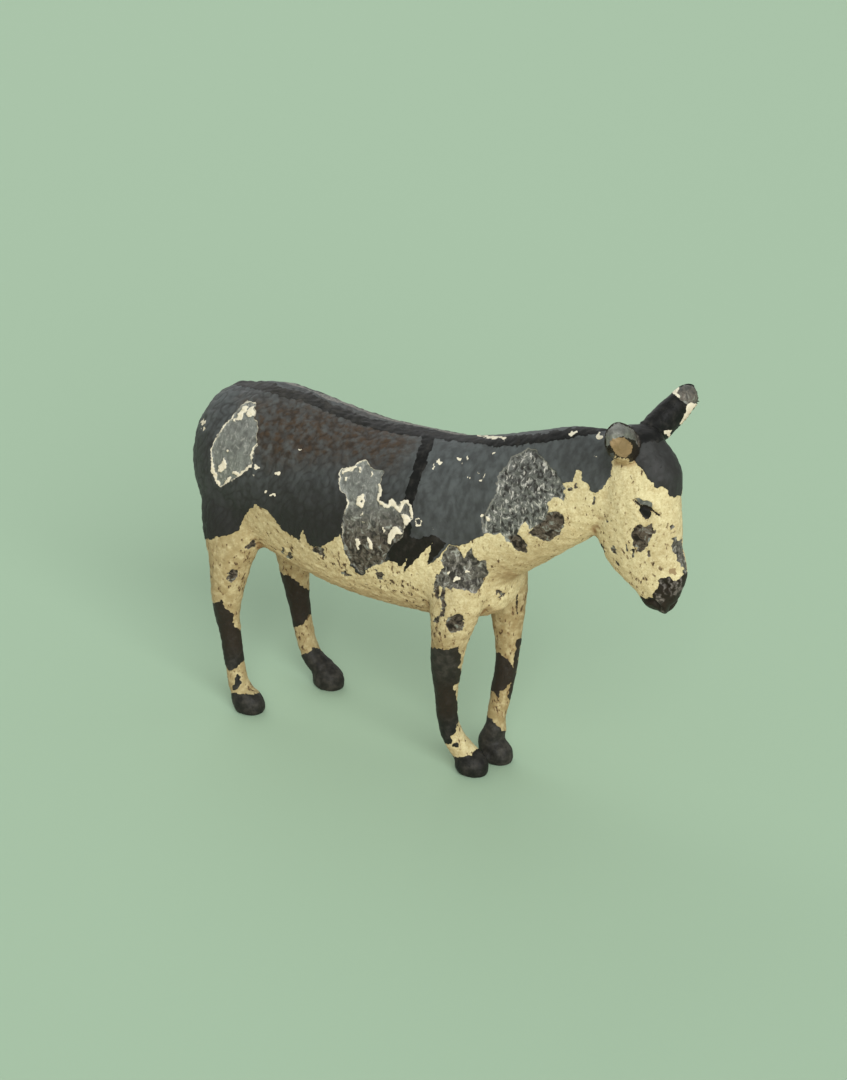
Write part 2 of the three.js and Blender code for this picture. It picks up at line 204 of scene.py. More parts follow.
# %% [markdown]
# ## Soft forms
# The solids have flat facets and hard creases, and a casting has neither. The Smooth modifier removes
# them, but on its own it also thins the legs and ears. So the skin is smoothed twice, and the movement of
# the second pass is given back: facets vanish while round forms keep their girth. The shoulders, the root
# of the neck and the hips then get a longer smoothing through a vertex group, because the real ones flow
# together. Small pulls along one axis set the far ear lower and draw in the lower muzzle, as in the
# photograph.

# %% Smooth the skin
SMOOTH_FACTOR = 0.5
SMOOTH_STEPS = 60
SHOULDER_STEPS = 500
SHOULDER_CENTRE = np.array((8.0, 0.0, 46.0))
SHOULDER_REACH = np.array((15.0, 40.0, 17.0))
HIP_STEPS = 150
HIP_CENTRE = np.array((-32.0, 0.0, 40.0))
HIP_REACH = np.array((14.0, 40.0, 10.5))
MELT_FADE = (0.6, 1.0)
TAIL_HALF_WIDTH = 2.5
FAR_EAR_DROP = -0.55
FAR_EAR_HEIGHTS = (57.0, 67.0)
FAR_EAR_SIDE = (2.0, 4.0)
MUZZLE_HEIGHTS = (41.4, 37.2)
MUZZLE_BACK = (37.0, 41.0)
MUZZLE_FRONT = (41.0, 44.0)
MUZZLE_HALF_WIDTH = 4.0
MUZZLE_SHORTER = -0.7
MUZZLE_NARROWER = -1.0


def smooth_without_thinning(piece, steps):
    """Smooths twice and gives the movement of the second pass back."""
    apply_modifier(piece, "SMOOTH", factor=SMOOTH_FACTOR, iterations=steps)
    once = read_points(piece)
    apply_modifier(piece, "SMOOTH", factor=SMOOTH_FACTOR, iterations=steps)
    write_points(piece, 2 * once - read_points(piece))


def smoothstep(low, high, value):
    """A soft step from 0 at the low limit to 1 at the high one."""
    share = np.clip((value - low) / (high - low), 0, 1)
    return share * share * (3 - 2 * share)


def weigh(piece, name, weights):
    """A vertex group whose weights come from an array."""
    group = piece.vertex_groups.new(name=name)
    for index in np.flatnonzero(weights > 0):
        group.add([int(index)], float(weights[index]), "REPLACE")
    return name


def melt(centre, reach, steps):
    """Smooths one region for longer, fading out towards its edge and leaving the tail alone."""
    points = read_points(skin)
    region = 1 - smoothstep(*MELT_FADE, np.linalg.norm((points - centre) / reach, axis=1))
    at_tail = (points[:, 0] < HIP_CENTRE[0]) & (abs(points[:, 1]) < TAIL_HALF_WIDTH)
    group = weigh(skin, "melt", np.where(at_tail, 0, region))
    apply_modifier(skin, "SMOOTH", factor=SMOOTH_FACTOR, iterations=steps, vertex_group=group)
    skin.vertex_groups.clear()


def pull(share, axis, distance):
    """Moves the skin along one axis, by the whole distance where the share is one."""
    group = weigh(skin, "pulled", share)
    apply_modifier(skin, "DISPLACE", direction=axis, strength=distance * MM, mid_level=0, vertex_group=group)
    skin.vertex_groups.clear()


def lower_far_ear():
    """Sinks the tip of the far ear, which stands a little lower in the photograph than in the solids."""
    points = read_points(skin)
    share = smoothstep(*FAR_EAR_HEIGHTS, points[:, 2]) * smoothstep(*FAR_EAR_SIDE, points[:, 1])
    pull(share, "Z", FAR_EAR_DROP)


def taper_muzzle():
    """Draws the lower muzzle in towards the lip, from the front and from both sides."""
    points = read_points(skin)
    low = smoothstep(*MUZZLE_HEIGHTS, points[:, 2]) * smoothstep(*MUZZLE_BACK, points[:, 0])
    pull(low * smoothstep(*MUZZLE_FRONT, points[:, 0]), "X", MUZZLE_SHORTER)
    for side in (-1, 1):
        outward = np.clip(side * points[:, 1] / MUZZLE_HALF_WIDTH, 0, 1)
        pull(low * outward, "Y", side * MUZZLE_NARROWER)


smooth_without_thinning(skin, SMOOTH_STEPS)
melt(SHOULDER_CENTRE, SHOULDER_REACH, SHOULDER_STEPS)
melt(HIP_CENTRE, HIP_REACH, HIP_STEPS)
lower_far_ear()
taper_muzzle()
skin_low = read_points(skin).min(axis=0)
skin_high = read_points(skin).max(axis=0)
print("skin box", skin_low.round(2), skin_high.round(2), "mm")

# %% [markdown]
# ## Which casting is which
# The skin will be cut back into the castings at the end, so each point learns its own casting now, as the
# nearest solid. Averaging the answer over neighbouring points keeps every cut line in one clean loop.

# %% Label the points
CASTINGS = ["body", "fore_leg_right", "fore_leg_left", "hind_leg_right", "hind_leg_left",
            "ear_right", "ear_left", "tail"]
LABEL_REACH = 3.0
LABEL_ROUNDS = 20


def distance_to(nodes, points):
    """Distance in millimetres from each point to the solids, up to a few millimetres."""
    distance = np.full(len(points), LABEL_REACH)
    for node in nodes:
        low, high = (np.array(corner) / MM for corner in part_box(node))
        tree = BVHTree.FromObject(frame["nodes"][node], bpy.context.evaluated_depsgraph_get())
        near = np.all((points > low - LABEL_REACH) & (points < high + LABEL_REACH), axis=1)
        for index in np.flatnonzero(near):
            found = tree.find_nearest(Vector(points[index] * MM))[3] / MM
            distance[index] = min(distance[index], found)
    return distance


def neighbour_mean(values, edges):
    """The mean of each point and the points joined to it."""
    count = len(values)
    starts, ends = edges[:, 0], edges[:, 1]
    total = values + np.bincount(starts, values[ends], count) + np.bincount(ends, values[starts], count)
    return total / (1 + np.bincount(starts, minlength=count) + np.bincount(ends, minlength=count))


points = read_points(skin)
edges = np.empty(len(skin.data.edges) * 2, np.int32)
skin.data.edges.foreach_get("vertices", edges)
edges = edges.reshape(-1, 2)
closeness = []
for casting in CASTINGS:
    solids = ["body_shell_left", "body_shell_right"] if casting == "body" else [casting]
    closeness.append(-distance_to(solids, points))
label = np.argmax(closeness, axis=0)
belongs = []
for number in range(len(CASTINGS)):
    share = (label == number).astype(float)
    for _ in range(LABEL_ROUNDS):
        share = neighbour_mean(share, edges)
    belongs.append(share)
label = np.argmax(belongs, axis=0)
part_of = {casting: label == number for number, casting in enumerate(CASTINGS)}
print("points per casting:", {casting: int(mine.sum()) for casting, mine in part_of.items()})

# %% [markdown]
# ## A drawing that wraps
# Paint is drawn in photograph pixels. A point that faces the camera uses its own pixel. A point on the
# hidden left side uses the pixel of its mirror image, so both flanks share the same coat border and the
# same face. The pixels are shaken by smooth noise first, which gives every edge the rag of old paint, and
# those of small flecks are torn harder, because no fleck is round. The noise is seeded: Blender's vector
# noise otherwise starts from the clock, and every run would tear the paint differently.

# %% Pixels for every point
NOISE_SEED = 4
NOISE_PLACE = {
    "limit": 11.0, "rear": 6.0, "stripe": 4.0, "ridge": 2.0, "wander": 5.0,
    "sand": 7.0, "grit": 9.0, "scuff": 3.0,
}
RAG_SIZES = (1.1, 0.45)
RAG_PIXELS = (1.9, 1.4)
TEAR_SIZE = 0.75
TEAR_PIXELS = 3.0
LIMIT_RAG = 0.25
LIMIT_SIZE = 1.6
MIRROR_FADE = (0.05, 0.35)
SEEN_FADE = (0.0, 0.15)
PAST_EDGE_FADE = (-0.25, -0.1)
HIDDEN_FADE = (0.6, 1.0)


def noise_at(points, size, place=0.0):
    """Smooth noise from about -1 to 1, with lumps of a given size in millimetres."""
    return np.array([noise.noise(Vector(p)) for p in points / size + place])


def shift(points, size, amount):
    """A smooth random shift in pixels, up to about the given amount."""
    return amount * np.array([noise.noise_vector(Vector(p)) for p in points / size])[:, :2]


def shaken(pixels, points):
    """Pixels shifted by coarse and by fine noise."""
    moved = pixels.copy()
    for size, amount in zip(RAG_SIZES, RAG_PIXELS):
        moved += shift(points, size, amount)
    return moved


noise.seed_set(NOISE_SEED)
normals = read_normals(skin)
facing = normals @ towards_camera
left_leg = part_of["fore_leg_left"] | part_of["hind_leg_left"]
mirrored = np.where(points[:, 1] > 0, 1 - smoothstep(*MIRROR_FADE, facing), 0)
mirrored[left_leg & (points[:, 1] > 0)] = 1
folded = points * np.column_stack((np.ones(len(points)), 1 - 2 * mirrored, np.ones(len(points))))
seen_pixels = shaken(photo_pixels(points), points)
side_pixels = shaken(photo_pixels(folded), points)
torn_pixels = side_pixels + shift(points, TEAR_SIZE, TEAR_PIXELS)
ragged_facing = facing + LIMIT_RAG * noise_at(points, LIMIT_SIZE, NOISE_PLACE["limit"])
seen = smoothstep(*SEEN_FADE, ragged_facing)
past_edge = smoothstep(*PAST_EDGE_FADE, ragged_facing)
unseen = np.where(points[:, 1] > 0, smoothstep(*HIDDEN_FADE, mirrored), 0)
print("points facing the camera:", int((facing > 0).sum()), "of", len(points))

# %% [markdown]
# ## Drawing tools
# Three simple tools make nearly every drawing: a closed outline, a brush stroke and a round spot. Each
# gives the depth in millimetres that a point lies inside the shape, and below zero outside it. Depths
# can be joined, cut and turned into relief, and the shader can sharpen their zero line into a crisp
# paint edge.

# %% Outlines, strokes and spots
OUTSIDE = -3.0
SPOT_LENGTH = 0.1


def near_enough(corners, pixels):
    """The points whose pixels lie close enough to a drawing to be measured."""
    margin = -OUTSIDE * PIXELS_PER_MM
    above = pixels > corners.min(axis=0) - margin
    below = pixels < corners.max(axis=0) + margin
    return np.flatnonzero(np.all(above & below, axis=1))


def segment_distance(pixels, start, end):
    along = end - start
    share = np.clip((pixels - start) @ along / (along @ along), 0, 1)
    return np.linalg.norm(pixels - start - share[:, None] * along, axis=1)


def outline(corners, pixels):
    """Depth inside a closed outline."""
    corners = np.array(corners, float)
    chosen = near_enough(corners, pixels)
    places = pixels[chosen]
    closest = np.full(len(chosen), np.inf)
    enclosed = np.zeros(len(chosen), bool)
    for start, end in zip(corners, np.roll(corners, -1, axis=0)):
        closest = np.minimum(closest, segment_distance(places, start, end))
        if start[1] != end[1]:
            level = (places[:, 1] - start[1]) / (end[1] - start[1])
            crossing = start[0] + level * (end[0] - start[0])
            enclosed ^= (level >= 0) & (level < 1) & (places[:, 0] < crossing)
    depth = np.full(len(pixels), OUTSIDE)
    depth[chosen] = np.maximum(np.where(enclosed, closest, -closest) / PIXELS_PER_MM, OUTSIDE)
    return depth


def stroke(route, width, pixels):
    """Depth inside a brush stroke of a given width in pixels."""
    route = np.array(route, float)
    chosen = near_enough(route, pixels)
    closest = np.full(len(chosen), np.inf)
    for start, end in zip(route, route[1:]):
        closest = np.minimum(closest, segment_distance(pixels[chosen], start, end))
    depth = np.full(len(pixels), OUTSIDE)
    depth[chosen] = np.maximum((width / 2 - closest) / PIXELS_PER_MM, OUTSIDE)
    return depth


def spots(list_of_spots, pixels):
    """Depth inside the nearest of some round spots, each a centre and a width in pixels."""
    depth = np.full(len(pixels), OUTSIDE)
    for across, down, width in list_of_spots:
        short_route = [(across, down), (across, down + SPOT_LENGTH)]
        depth = np.maximum(depth, stroke(short_route, width, pixels))
    return depth


def joined(*depths):
    """The depth inside any of some shapes."""
    return np.maximum.reduce(depths)


def outlines(shapes, pixels):
    return joined(*[outline(shape, pixels) for shape in shapes])


def strokes(routes, width, pixels):
    return joined(*[stroke(route, width, pixels) for route in routes])


def within(mask, depth):
    """A depth that holds only where a mask is above a half."""
    return np.minimum(depth, OUTSIDE * (1 - 2 * mask))


def moved_outline(corners, centre, turn, size=1.0):
    """An outline moved to a new centre, turned and scaled, for chips that only the hidden side has."""
    corners = np.array(corners, float)
    angle = math.radians(turn)
    turning = np.array(((math.cos(angle), -math.sin(angle)), (math.sin(angle), math.cos(angle))))
    return (corners - corners.mean(axis=0)) @ turning.T * size + centre


print("drawing tools ready, reach", -OUTSIDE, "mm")

# %% [markdown]
# ## Carved features
# The face is shallow work in the metal: an eye punched under a slanted brow, a nostril, a mouth line and
# a hollow in each ear. A mould line and a small crack are cut too. They could be bump in a material, but
# they have to hold in a plain mesh. Each one is a vertex group for a Displace modifier, applied at once,
# so the cut is real. A stroke of the face is a route, a width in pixels, and a height and softness in
# millimetres.

# %% Cut the face, ears and mould line
EYE_SOCKET = [(639, 509), (645, 508), (650, 510), (653, 514), (651, 519), (646, 522), (642, 519), (638, 513)]
EYE_CUT = -0.65
EYE_SOFTNESS = 0.3
LOWER_LID = [(636, 512), (638, 519), (644, 524), (652, 523)]
BROW_RIDGE = [(638, 496), (648, 500), (658, 507)]
BROW_GROOVE = [(634, 501), (638, 505), (642, 508), (650, 510), (655, 513), (660, 516)]
NOSTRIL = [(664, 583), (668, 586), (669, 591)]
LIP_TIP = [(664, 608), (665, 612)]
MOUTH = [(648, 601), (654, 602), (659, 606)]
FACE_STROKES = [
    (LOWER_LID, 3, 0.15, 0.3), (BROW_RIDGE, 5, 0.18, 0.35), (BROW_GROOVE, 2.6, -0.42, 0.2),
    (NOSTRIL, 3.2, -0.35, 0.25), (LIP_TIP, 7, 0.7, 0.6), (MOUTH, 2.6, -0.55, 0.22),
]
EAR_SWELL = 0.2
EAR_SWELL_SOFTNESS = 0.35
EAR_HOLLOW = [(608, 440), (615, 437), (625, 437), (632, 443), (632, 451), (627, 458), (619, 457), (612, 451)]
EAR_HOLLOW_CUT = -0.65
EAR_HOLLOW_SOFTNESS = 0.5
NEAR_HOLLOW_FADE = (0.1, 0.3)
FAR_HOLLOW_FADE = (0.7, 1.0)
MOULD_LINE = [(518, 588), (517, 600), (517.5, 614)]
MOULD_LINE_WIDTH = 1.2
MOULD_LINE_CUT = -0.16
MOULD_LINE_SOFTNESS = 0.15
CHEST_CRACK = [(496, 591), (500, 593), (505, 595)]
CHEST_CRACK_WIDTH = 2.5
CHEST_CRACK_CUT = -0.2
CHEST_CRACK_SOFTNESS = 0.2
HEAD_FROM = 18.0


def carve(depth_inside, height, softness):
    """Raises or cuts the skin where a drawn depth is positive, with a soft edge."""
    group = weigh(skin, "carving", smoothstep(-softness, softness, depth_inside))
    apply_modifier(skin, "DISPLACE", strength=height * MM, mid_level=0, vertex_group=group)
    skin.vertex_groups.clear()


plain_side = photo_pixels(folded)
plain_seen = photo_pixels(points)
head = np.where(part_of["body"] & (points[:, 0] > HEAD_FROM), 1.0, 0.0)
ears = np.where(part_of["ear_right"] | part_of["ear_left"], 1.0, 0.0)
near_hollow = smoothstep(*NEAR_HOLLOW_FADE, facing)
far_hollow = smoothstep(*FAR_HOLLOW_FADE, mirrored)
hollow_side = ears * np.where(part_of["ear_right"], near_hollow, far_hollow)
ear_hollow = within(hollow_side, outline(EAR_HOLLOW, plain_side))
fore_left = np.where(part_of["fore_leg_left"], seen, 0.0)
mould_line = within(fore_left, stroke(MOULD_LINE, MOULD_LINE_WIDTH, plain_seen))
chest_crack = within(seen, stroke(CHEST_CRACK, CHEST_CRACK_WIDTH, plain_seen))
carve(within(head, outline(EYE_SOCKET, plain_side)), EYE_CUT, EYE_SOFTNESS)
for route, width, height, softness in FACE_STROKES:
    carve(within(head, stroke(route, width, plain_side)), height, softness)
carve(np.where(ears > 0, 1.0, OUTSIDE), EAR_SWELL, EAR_SWELL_SOFTNESS)
carve(ear_hollow, EAR_HOLLOW_CUT, EAR_HOLLOW_SOFTNESS)
carve(mould_line, MOULD_LINE_CUT, MOULD_LINE_SOFTNESS)
carve(chest_crack, CHEST_CRACK_CUT, CHEST_CRACK_SOFTNESS)
print("carved, skin now", read_points(skin).min(axis=0).round(2), read_points(skin).max(axis=0).round(2))

# %% [markdown]
# ## The cream and grey coats
# The whole casting was first painted cream. Grey was brushed over the back, flanks, neck and forehead,
# and its lower edge is torn where flakes came away. One long outline follows that edge.

# %% Draw the grey coat
GREY_COAT = [
    (150, 548), (208, 539), (225, 536), (238, 530), (243, 520), (248, 512), (255, 505), (265, 508),
    (275, 520), (283, 530), (290, 535), (299, 540), (303, 528), (306, 540), (310, 546), (320, 548),
    (330, 542), (340, 534), (344, 548), (352, 566), (360, 577), (369, 569), (379, 562), (390, 560),
    (398, 563), (400, 568), (407, 559), (404, 572), (417, 558), (432, 543), (427, 566), (438, 558),
    (448, 545), (460, 546), (475, 539), (484, 535), (494, 533), (503, 530), (512, 527), (518, 521),
    (524, 519), (530, 522), (538, 518), (544, 510), (547, 502), (556, 496), (557, 484), (566, 481),
    (573, 482), (577, 470), (581, 470), (584, 482), (588, 483), (592, 492), (597, 494), (605, 485),
    (611, 477), (612, 461), (617, 452),
    (634, 460), (642, 468), (649, 479), (657, 486), (663, 487), (673, 497), (679, 496), (700, 497),
    (760, 480), (740, 330), (150, 330),
]
REAR_RAG = 1.2
REAR_RAG_SIZE = 2.4
rear_rag = REAR_RAG * noise_at(points, REAR_RAG_SIZE, NOISE_PLACE["rear"])
grey = outline(GREY_COAT, side_pixels) + (1 - seen) * rear_rag
print("grey coat on", int((grey > 0).sum()), "points")

# %% [markdown]
# ## Black markings
# Black came last: bands on the legs and all four hooves, a stripe along the back, a stripe down each
# shoulder, the poll, muzzle and eyes, the ears and the tail. Each leg has its own drawing and keeps it all
# the way round.

# %% Draw the bands and hooves
FORE_RIGHT_BAND = [
    (415, 646), (431, 647), (445, 650), (458, 646), (461, 661), (457, 666), (462, 671), (461, 681),
    (453, 686), (456, 692), (457, 703), (459, 722), (452, 737), (450, 744), (430, 742), (415, 700),
]
FORE_RIGHT_HOOF = [
    (430, 752), (450, 755), (463, 757), (472, 754), (478, 748), (500, 740), (510, 790), (430, 790),
]
FORE_RIGHT_SPOTS = [(452, 760, 3), (456, 745, 5), (450, 741, 6)]
FORE_LEFT_BAND = [
    (485, 654), (496, 651), (504, 656), (510, 662), (513, 670), (511, 680), (507, 688), (500, 691),
    (498, 698), (494, 692), (485, 688),
]
FORE_LEFT_STRIP = [(520, 640), (516, 660), (513, 680), (510, 697)]
FORE_LEFT_STRIP_WIDTH = 5
FORE_LEFT_HOOF = [
    (470, 712), (488, 716), (493, 722), (500, 728), (510, 736), (525, 740), (525, 790), (470, 790),
]
HIND_RIGHT_BAND = [
    (195, 605), (213, 603), (222, 600), (225, 608), (232, 613), (234, 627), (241, 631), (250, 632),
    (250, 655), (244, 660), (236, 669), (229, 670), (225, 664), (212, 660),
]
HIND_RIGHT_COMMA = [(238, 678), (238, 683), (235, 688)]
HIND_RIGHT_COMMA_WIDTH = 6
HIND_RIGHT_HOOF = [
    (215, 692), (232, 694), (244, 693), (252, 695), (262, 690), (280, 700), (275, 725), (220, 725),
]
HIND_LEFT_BAND = [
    (270, 568), (279, 571), (290, 577), (300, 584), (309, 590), (320, 592), (322, 612), (308, 616),
    (304, 624), (294, 628), (284, 620),
]
HIND_LEFT_HOOF = [
    (296, 656), (306, 654), (314, 648), (322, 650), (340, 650), (365, 690), (330, 700), (300, 685),
]
LEG_OUTLINES = {
    "fore_leg_right": (FORE_RIGHT_BAND, FORE_RIGHT_HOOF),
    "fore_leg_left": (FORE_LEFT_BAND, FORE_LEFT_HOOF),
    "hind_leg_right": (HIND_RIGHT_BAND, HIND_RIGHT_HOOF),
    "hind_leg_left": (HIND_LEFT_BAND, HIND_LEFT_HOOF),
}


def on(casting):
    return part_of[casting].astype(float)


leg_black = joined(
    *[within(on(leg), outlines(shapes, seen_pixels)) for leg, shapes in LEG_OUTLINES.items()],
    within(on("fore_leg_right"), spots(FORE_RIGHT_SPOTS, seen_pixels)),
    within(on("fore_leg_left"), stroke(FORE_LEFT_STRIP, FORE_LEFT_STRIP_WIDTH, seen_pixels)),
    within(on("hind_leg_right"), stroke(HIND_RIGHT_COMMA, HIND_RIGHT_COMMA_WIDTH, seen_pixels)),
)
print("black on the legs:", int((leg_black > 0).sum()), "points")

# %% Draw the stripes and the black of head and tail
BACK_STRIPE = [
    (236, 380), (252, 384), (270, 388), (288, 394), (308, 398), (332, 410), (360, 420), (380, 426),
    (400, 430), (416, 432), (432, 434), (450, 436), (472, 439), (496, 442), (520, 441), (545, 438),
    (580, 432), (597, 428), (612, 425),
]
BACK_STRIPE_WIDTH = 9.5
STRIPE_TURNS = -35.5
TAIL_STRIPE_HALF = 0.8
STRIPE_WANDER = 0.5
STRIPE_WANDER_SIZE = 2.0
UPWARD = (0.15, 0.4)
SHOULDER_STRIPE = [
    (424, 434), (418, 454), (411, 475), (404, 498), (401, 515), (402, 538), (409, 548), (412, 538),
    (411, 520), (414, 502), (422, 475), (429, 457), (437, 434),
]
POLL = [(630, 424), (645, 420), (662, 424), (664, 440), (655, 443), (645, 442), (638, 446), (634, 436)]
EYE_PAINT = [(638, 511), (640, 508), (645, 508), (650, 511), (652, 515), (650, 519), (646, 521), (642, 518)]
BROW_WIDTH = 2.3
SMEAR = [
    (404, 524), (411, 536), (422, 539), (433, 534), (446, 543), (436, 556), (424, 568), (404, 572),
    (390, 566), (388, 552), (397, 540),
]
NEAR_EAR_CREAM = [(612, 452), (617, 456), (625, 459), (634, 461), (634, 478), (612, 478)]
MUZZLE = [
    (648, 604), (652, 599), (653, 593), (658, 587), (660, 578), (668, 577), (676, 581), (683, 575),
    (687, 568), (705, 570), (700, 600), (680, 620), (664, 622), (656, 610),
]
CHIN = [(638, 596), (646, 598), (652, 597), (656, 606), (662, 614), (656, 618), (646, 612), (638, 602)]
on_body = on("body")
# Painted shade: a dark line along the brow groove stands for the shadow under the brow; it joins the black
# and is warmed brown.
brow_shade = within(head, stroke(BROW_GROOVE, BROW_WIDTH, plain_side))
stripe_side = points[:, 1] + STRIPE_WANDER * noise_at(points, STRIPE_WANDER_SIZE, NOISE_PLACE["stripe"])
upward = smoothstep(*UPWARD, normals[:, 2])
smear = within(on_body * seen, np.minimum(outline(SMEAR, seen_pixels), grey))
black = joined(
    leg_black,
    within(on_body * seen * upward, stroke(BACK_STRIPE, BACK_STRIPE_WIDTH, seen_pixels)),
    within(on_body * (points[:, 0] < STRIPE_TURNS), TAIL_STRIPE_HALF - abs(stripe_side)),
    within(on_body, outlines((SHOULDER_STRIPE, POLL, MUZZLE, CHIN), side_pixels)),
    within(on_body, joined(outline(EYE_PAINT, plain_side), brow_shade)),
    smear,
    mould_line,
    np.where(part_of["ear_left"] | part_of["tail"], 1.0, OUTSIDE),
    within(on("ear_right"), -outline(NEAR_EAR_CREAM, side_pixels)),
)
print("black on", int((black > 0).sum()), "points")

# %% [markdown]
# ## Chips down to the metal
# Where a flake came off, bright or tarnished metal shows inside a thin white rim of torn primer. The
# photograph's chips are drawn one by one. The hidden side gets chips of its own, moved and turned, since a
# mirrored copy would look stamped.

# %% Draw the chips
FLANK_CHIP = [
    (339, 475), (341, 470), (356, 465), (365, 461), (371, 468), (383, 471), (381, 481), (379, 491),
    (378, 503), (387, 504), (393, 499), (397, 507), (405, 501), (411, 505), (412, 520), (404, 526),
    (401, 539), (391, 546), (385, 561), (371, 567), (361, 574), (345, 556), (343, 537), (343, 519),
    (349, 501), (340, 489),
]
RUMP_CHIP = [
    (251, 401), (255, 405), (254, 417), (257, 431), (257, 445), (252, 457), (250, 464), (238, 475),
    (230, 481), (220, 486), (215, 477), (211, 462), (212, 449), (216, 438), (224, 425), (232, 420),
    (241, 407),
]
NECK_CHIP = [
    (529, 449), (513, 457), (506, 466), (498, 478), (496, 496), (488, 510), (482, 519), (485, 534),
    (501, 534), (505, 537), (517, 534), (521, 526), (526, 521), (529, 530), (536, 526), (544, 521),
    (549, 512), (548, 501), (556, 498), (564, 501), (563, 484), (557, 474), (547, 463), (536, 451),
]
NECK_BROWN = [
    (528, 534), (536, 526), (544, 520), (549, 513), (556, 511), (563, 515), (564, 526), (559, 534),
    (551, 541), (544, 542), (537, 538),
]
CHEST_BROWN = [(505, 534), (517, 533), (522, 539), (527, 544), (526, 554), (518, 552), (511, 545), (505, 539)]
SHOULDER_CHIP = [
    (441, 558), (447, 546), (455, 546), (461, 552), (464, 558), (471, 548), (475, 558), (487, 562),
    (488, 575), (481, 587), (477, 593), (463, 590), (445, 588), (433, 585), (438, 578), (442, 566),
]
LEG_STREAKS = [[(436, 587), (437, 597)], [(443, 588), (443, 602), (442, 615)]]
LEG_STREAK_WIDTH = 4
LEG_SPOT = [(451, 615), (460, 613), (464, 621), (462, 631), (455, 634), (446, 630), (446, 621)]
CHEEK_CHIP = [
    (632, 532), (637, 527), (645, 526), (652, 524), (655, 530), (653, 538), (649, 542), (645, 550),
    (640, 553), (635, 548), (631, 542),
]
EYE_CHIP = [(634, 499), (639, 498), (643, 501), (648, 500), (652, 503), (652, 509), (645, 508), (639, 505)]
NOSE_CHIP = [
    (673, 539), (677, 538), (680, 541), (684, 535), (694, 536), (694, 574), (684, 574), (679, 563),
    (676, 556), (673, 550),
]
DARK_SPOTS = [
    (252, 543, 7), (249, 547, 5), (233, 574, 9), (229, 578, 6), (316, 550, 8), (322, 553, 6), (345, 574, 6),
    (380, 576, 7), (376, 570, 4), (607, 521, 4), (499, 593, 5), (503, 595, 3), (436, 620, 6), (437, 617, 4),
    (437, 577, 4), (570, 490, 5), (576, 487, 4), (290, 556, 6), (283, 551, 4), (672, 528, 4),
]
JAW_FLECKS = [
    [(594, 498), (592, 504)], [(601, 545), (605, 551)], [(612, 546), (614, 552)], [(626, 546), (627, 551)],
    [(632, 550), (633, 556)], [(649, 551), (650, 557)], [(616, 563), (619, 566)], [(598, 556), (600, 560)],
]
JAW_FLECK_WIDTH = 2.6
FAR_EAR_BARE = [
    (674, 392), (679, 399), (683, 402), (689, 406), (697, 403), (705, 390), (695, 378), (680, 382),
]
NEAR_EAR_BARE = [
    (600, 446), (602, 430), (618, 412), (640, 416), (650, 436), (648, 452), (640, 453), (637, 445),
    (629, 437), (617, 437), (609, 441), (608, 448),
]
HIDDEN_CHIPS = [
    (RUMP_CHIP, (470, 490), 70, 1.1),
    (FLANK_CHIP, (278, 470), 160, 0.85),
    (SHOULDER_CHIP, (330, 430), 35, 0.8),
    (CHEEK_CHIP, (560, 460), 80, 1.4),
    (LEG_SPOT, (395, 560), 20, 1.2),
]
near_castings = part_of["body"] | part_of["fore_leg_right"] | part_of["hind_leg_right"]
front_or_near = np.where(near_castings, past_edge, 0)
hidden_body = on_body * unseen
bright_chips = joined(
    within(front_or_near, outlines((FLANK_CHIP, RUMP_CHIP), side_pixels)),
    *[within(hidden_body, outline(moved_outline(*chip), side_pixels)) for chip in HIDDEN_CHIPS],
)
scuffed_chips = within(front_or_near, outline(NECK_CHIP, side_pixels))
shoulder_chip = within(front_or_near, outline(SHOULDER_CHIP, side_pixels))
nose_chip = within(front_or_near, outline(NOSE_CHIP, torn_pixels))
grey_chips = joined(shoulder_chip, nose_chip)
brown_chips = within(front_or_near, joined(
    grey_chips,
    outlines((NECK_BROWN, CHEST_BROWN, LEG_SPOT), side_pixels),
    outline(CHEEK_CHIP, torn_pixels),
    spots(DARK_SPOTS, torn_pixels),
    strokes(LEG_STREAKS, LEG_STREAK_WIDTH, side_pixels),
    strokes(JAW_FLECKS, JAW_FLECK_WIDTH, side_pixels),
))
eye_chip = np.minimum(within(front_or_near, outline(EYE_CHIP, plain_side)), -brow_shade)
far_tip = within(on("ear_left") * seen, outline(FAR_EAR_BARE, seen_pixels))
near_top = within(on("ear_right") * seen, outline(NEAR_EAR_BARE, seen_pixels))
bare = joined(bright_chips, scuffed_chips, brown_chips, eye_chip, far_tip, near_top)
print("bare metal on", int((bare > 0).sum()), "points")

# %% [markdown]
# ## Bright, scuffed and brown metal
# The metal differs from chip to chip. It is bright on the flank and rump, scuffed on the neck and brown in
# the smaller chips. Three values at every point say so for the shader: scuff, tarnish, and how white the
# torn rim is.

# %% Scuff and tarnish the metal
CHIP_FADE = 0.2
TARNISH_FADE = (-0.3, 0.1)
RIM_FADE = (-0.5, 0.0)
RIM_ENDS = (520, 552)
LOW_FLANK = (485, 550)
BRIGHT_SCUFF = 0.35
LOW_FLANK_SCUFF = 0.4
GREY_CHIP_SCUFF = 0.9
EYE_CHIP_SCUFF = 0.6
GREY_CHIP_CLEANER = 0.45
LOW_FLANK_TARNISH = 0.9
FAR_EAR_TARNISH = 0.75
NEAR_EAR_TARNISH = 0.3
NEAR_EAR_BROWNS = (624, 642)
SCUFFED_RIM = 0.2


def inside(depth):
    """One inside a drawn shape and zero outside it, with a soft edge."""
    return smoothstep(-CHIP_FADE, CHIP_FADE, depth)


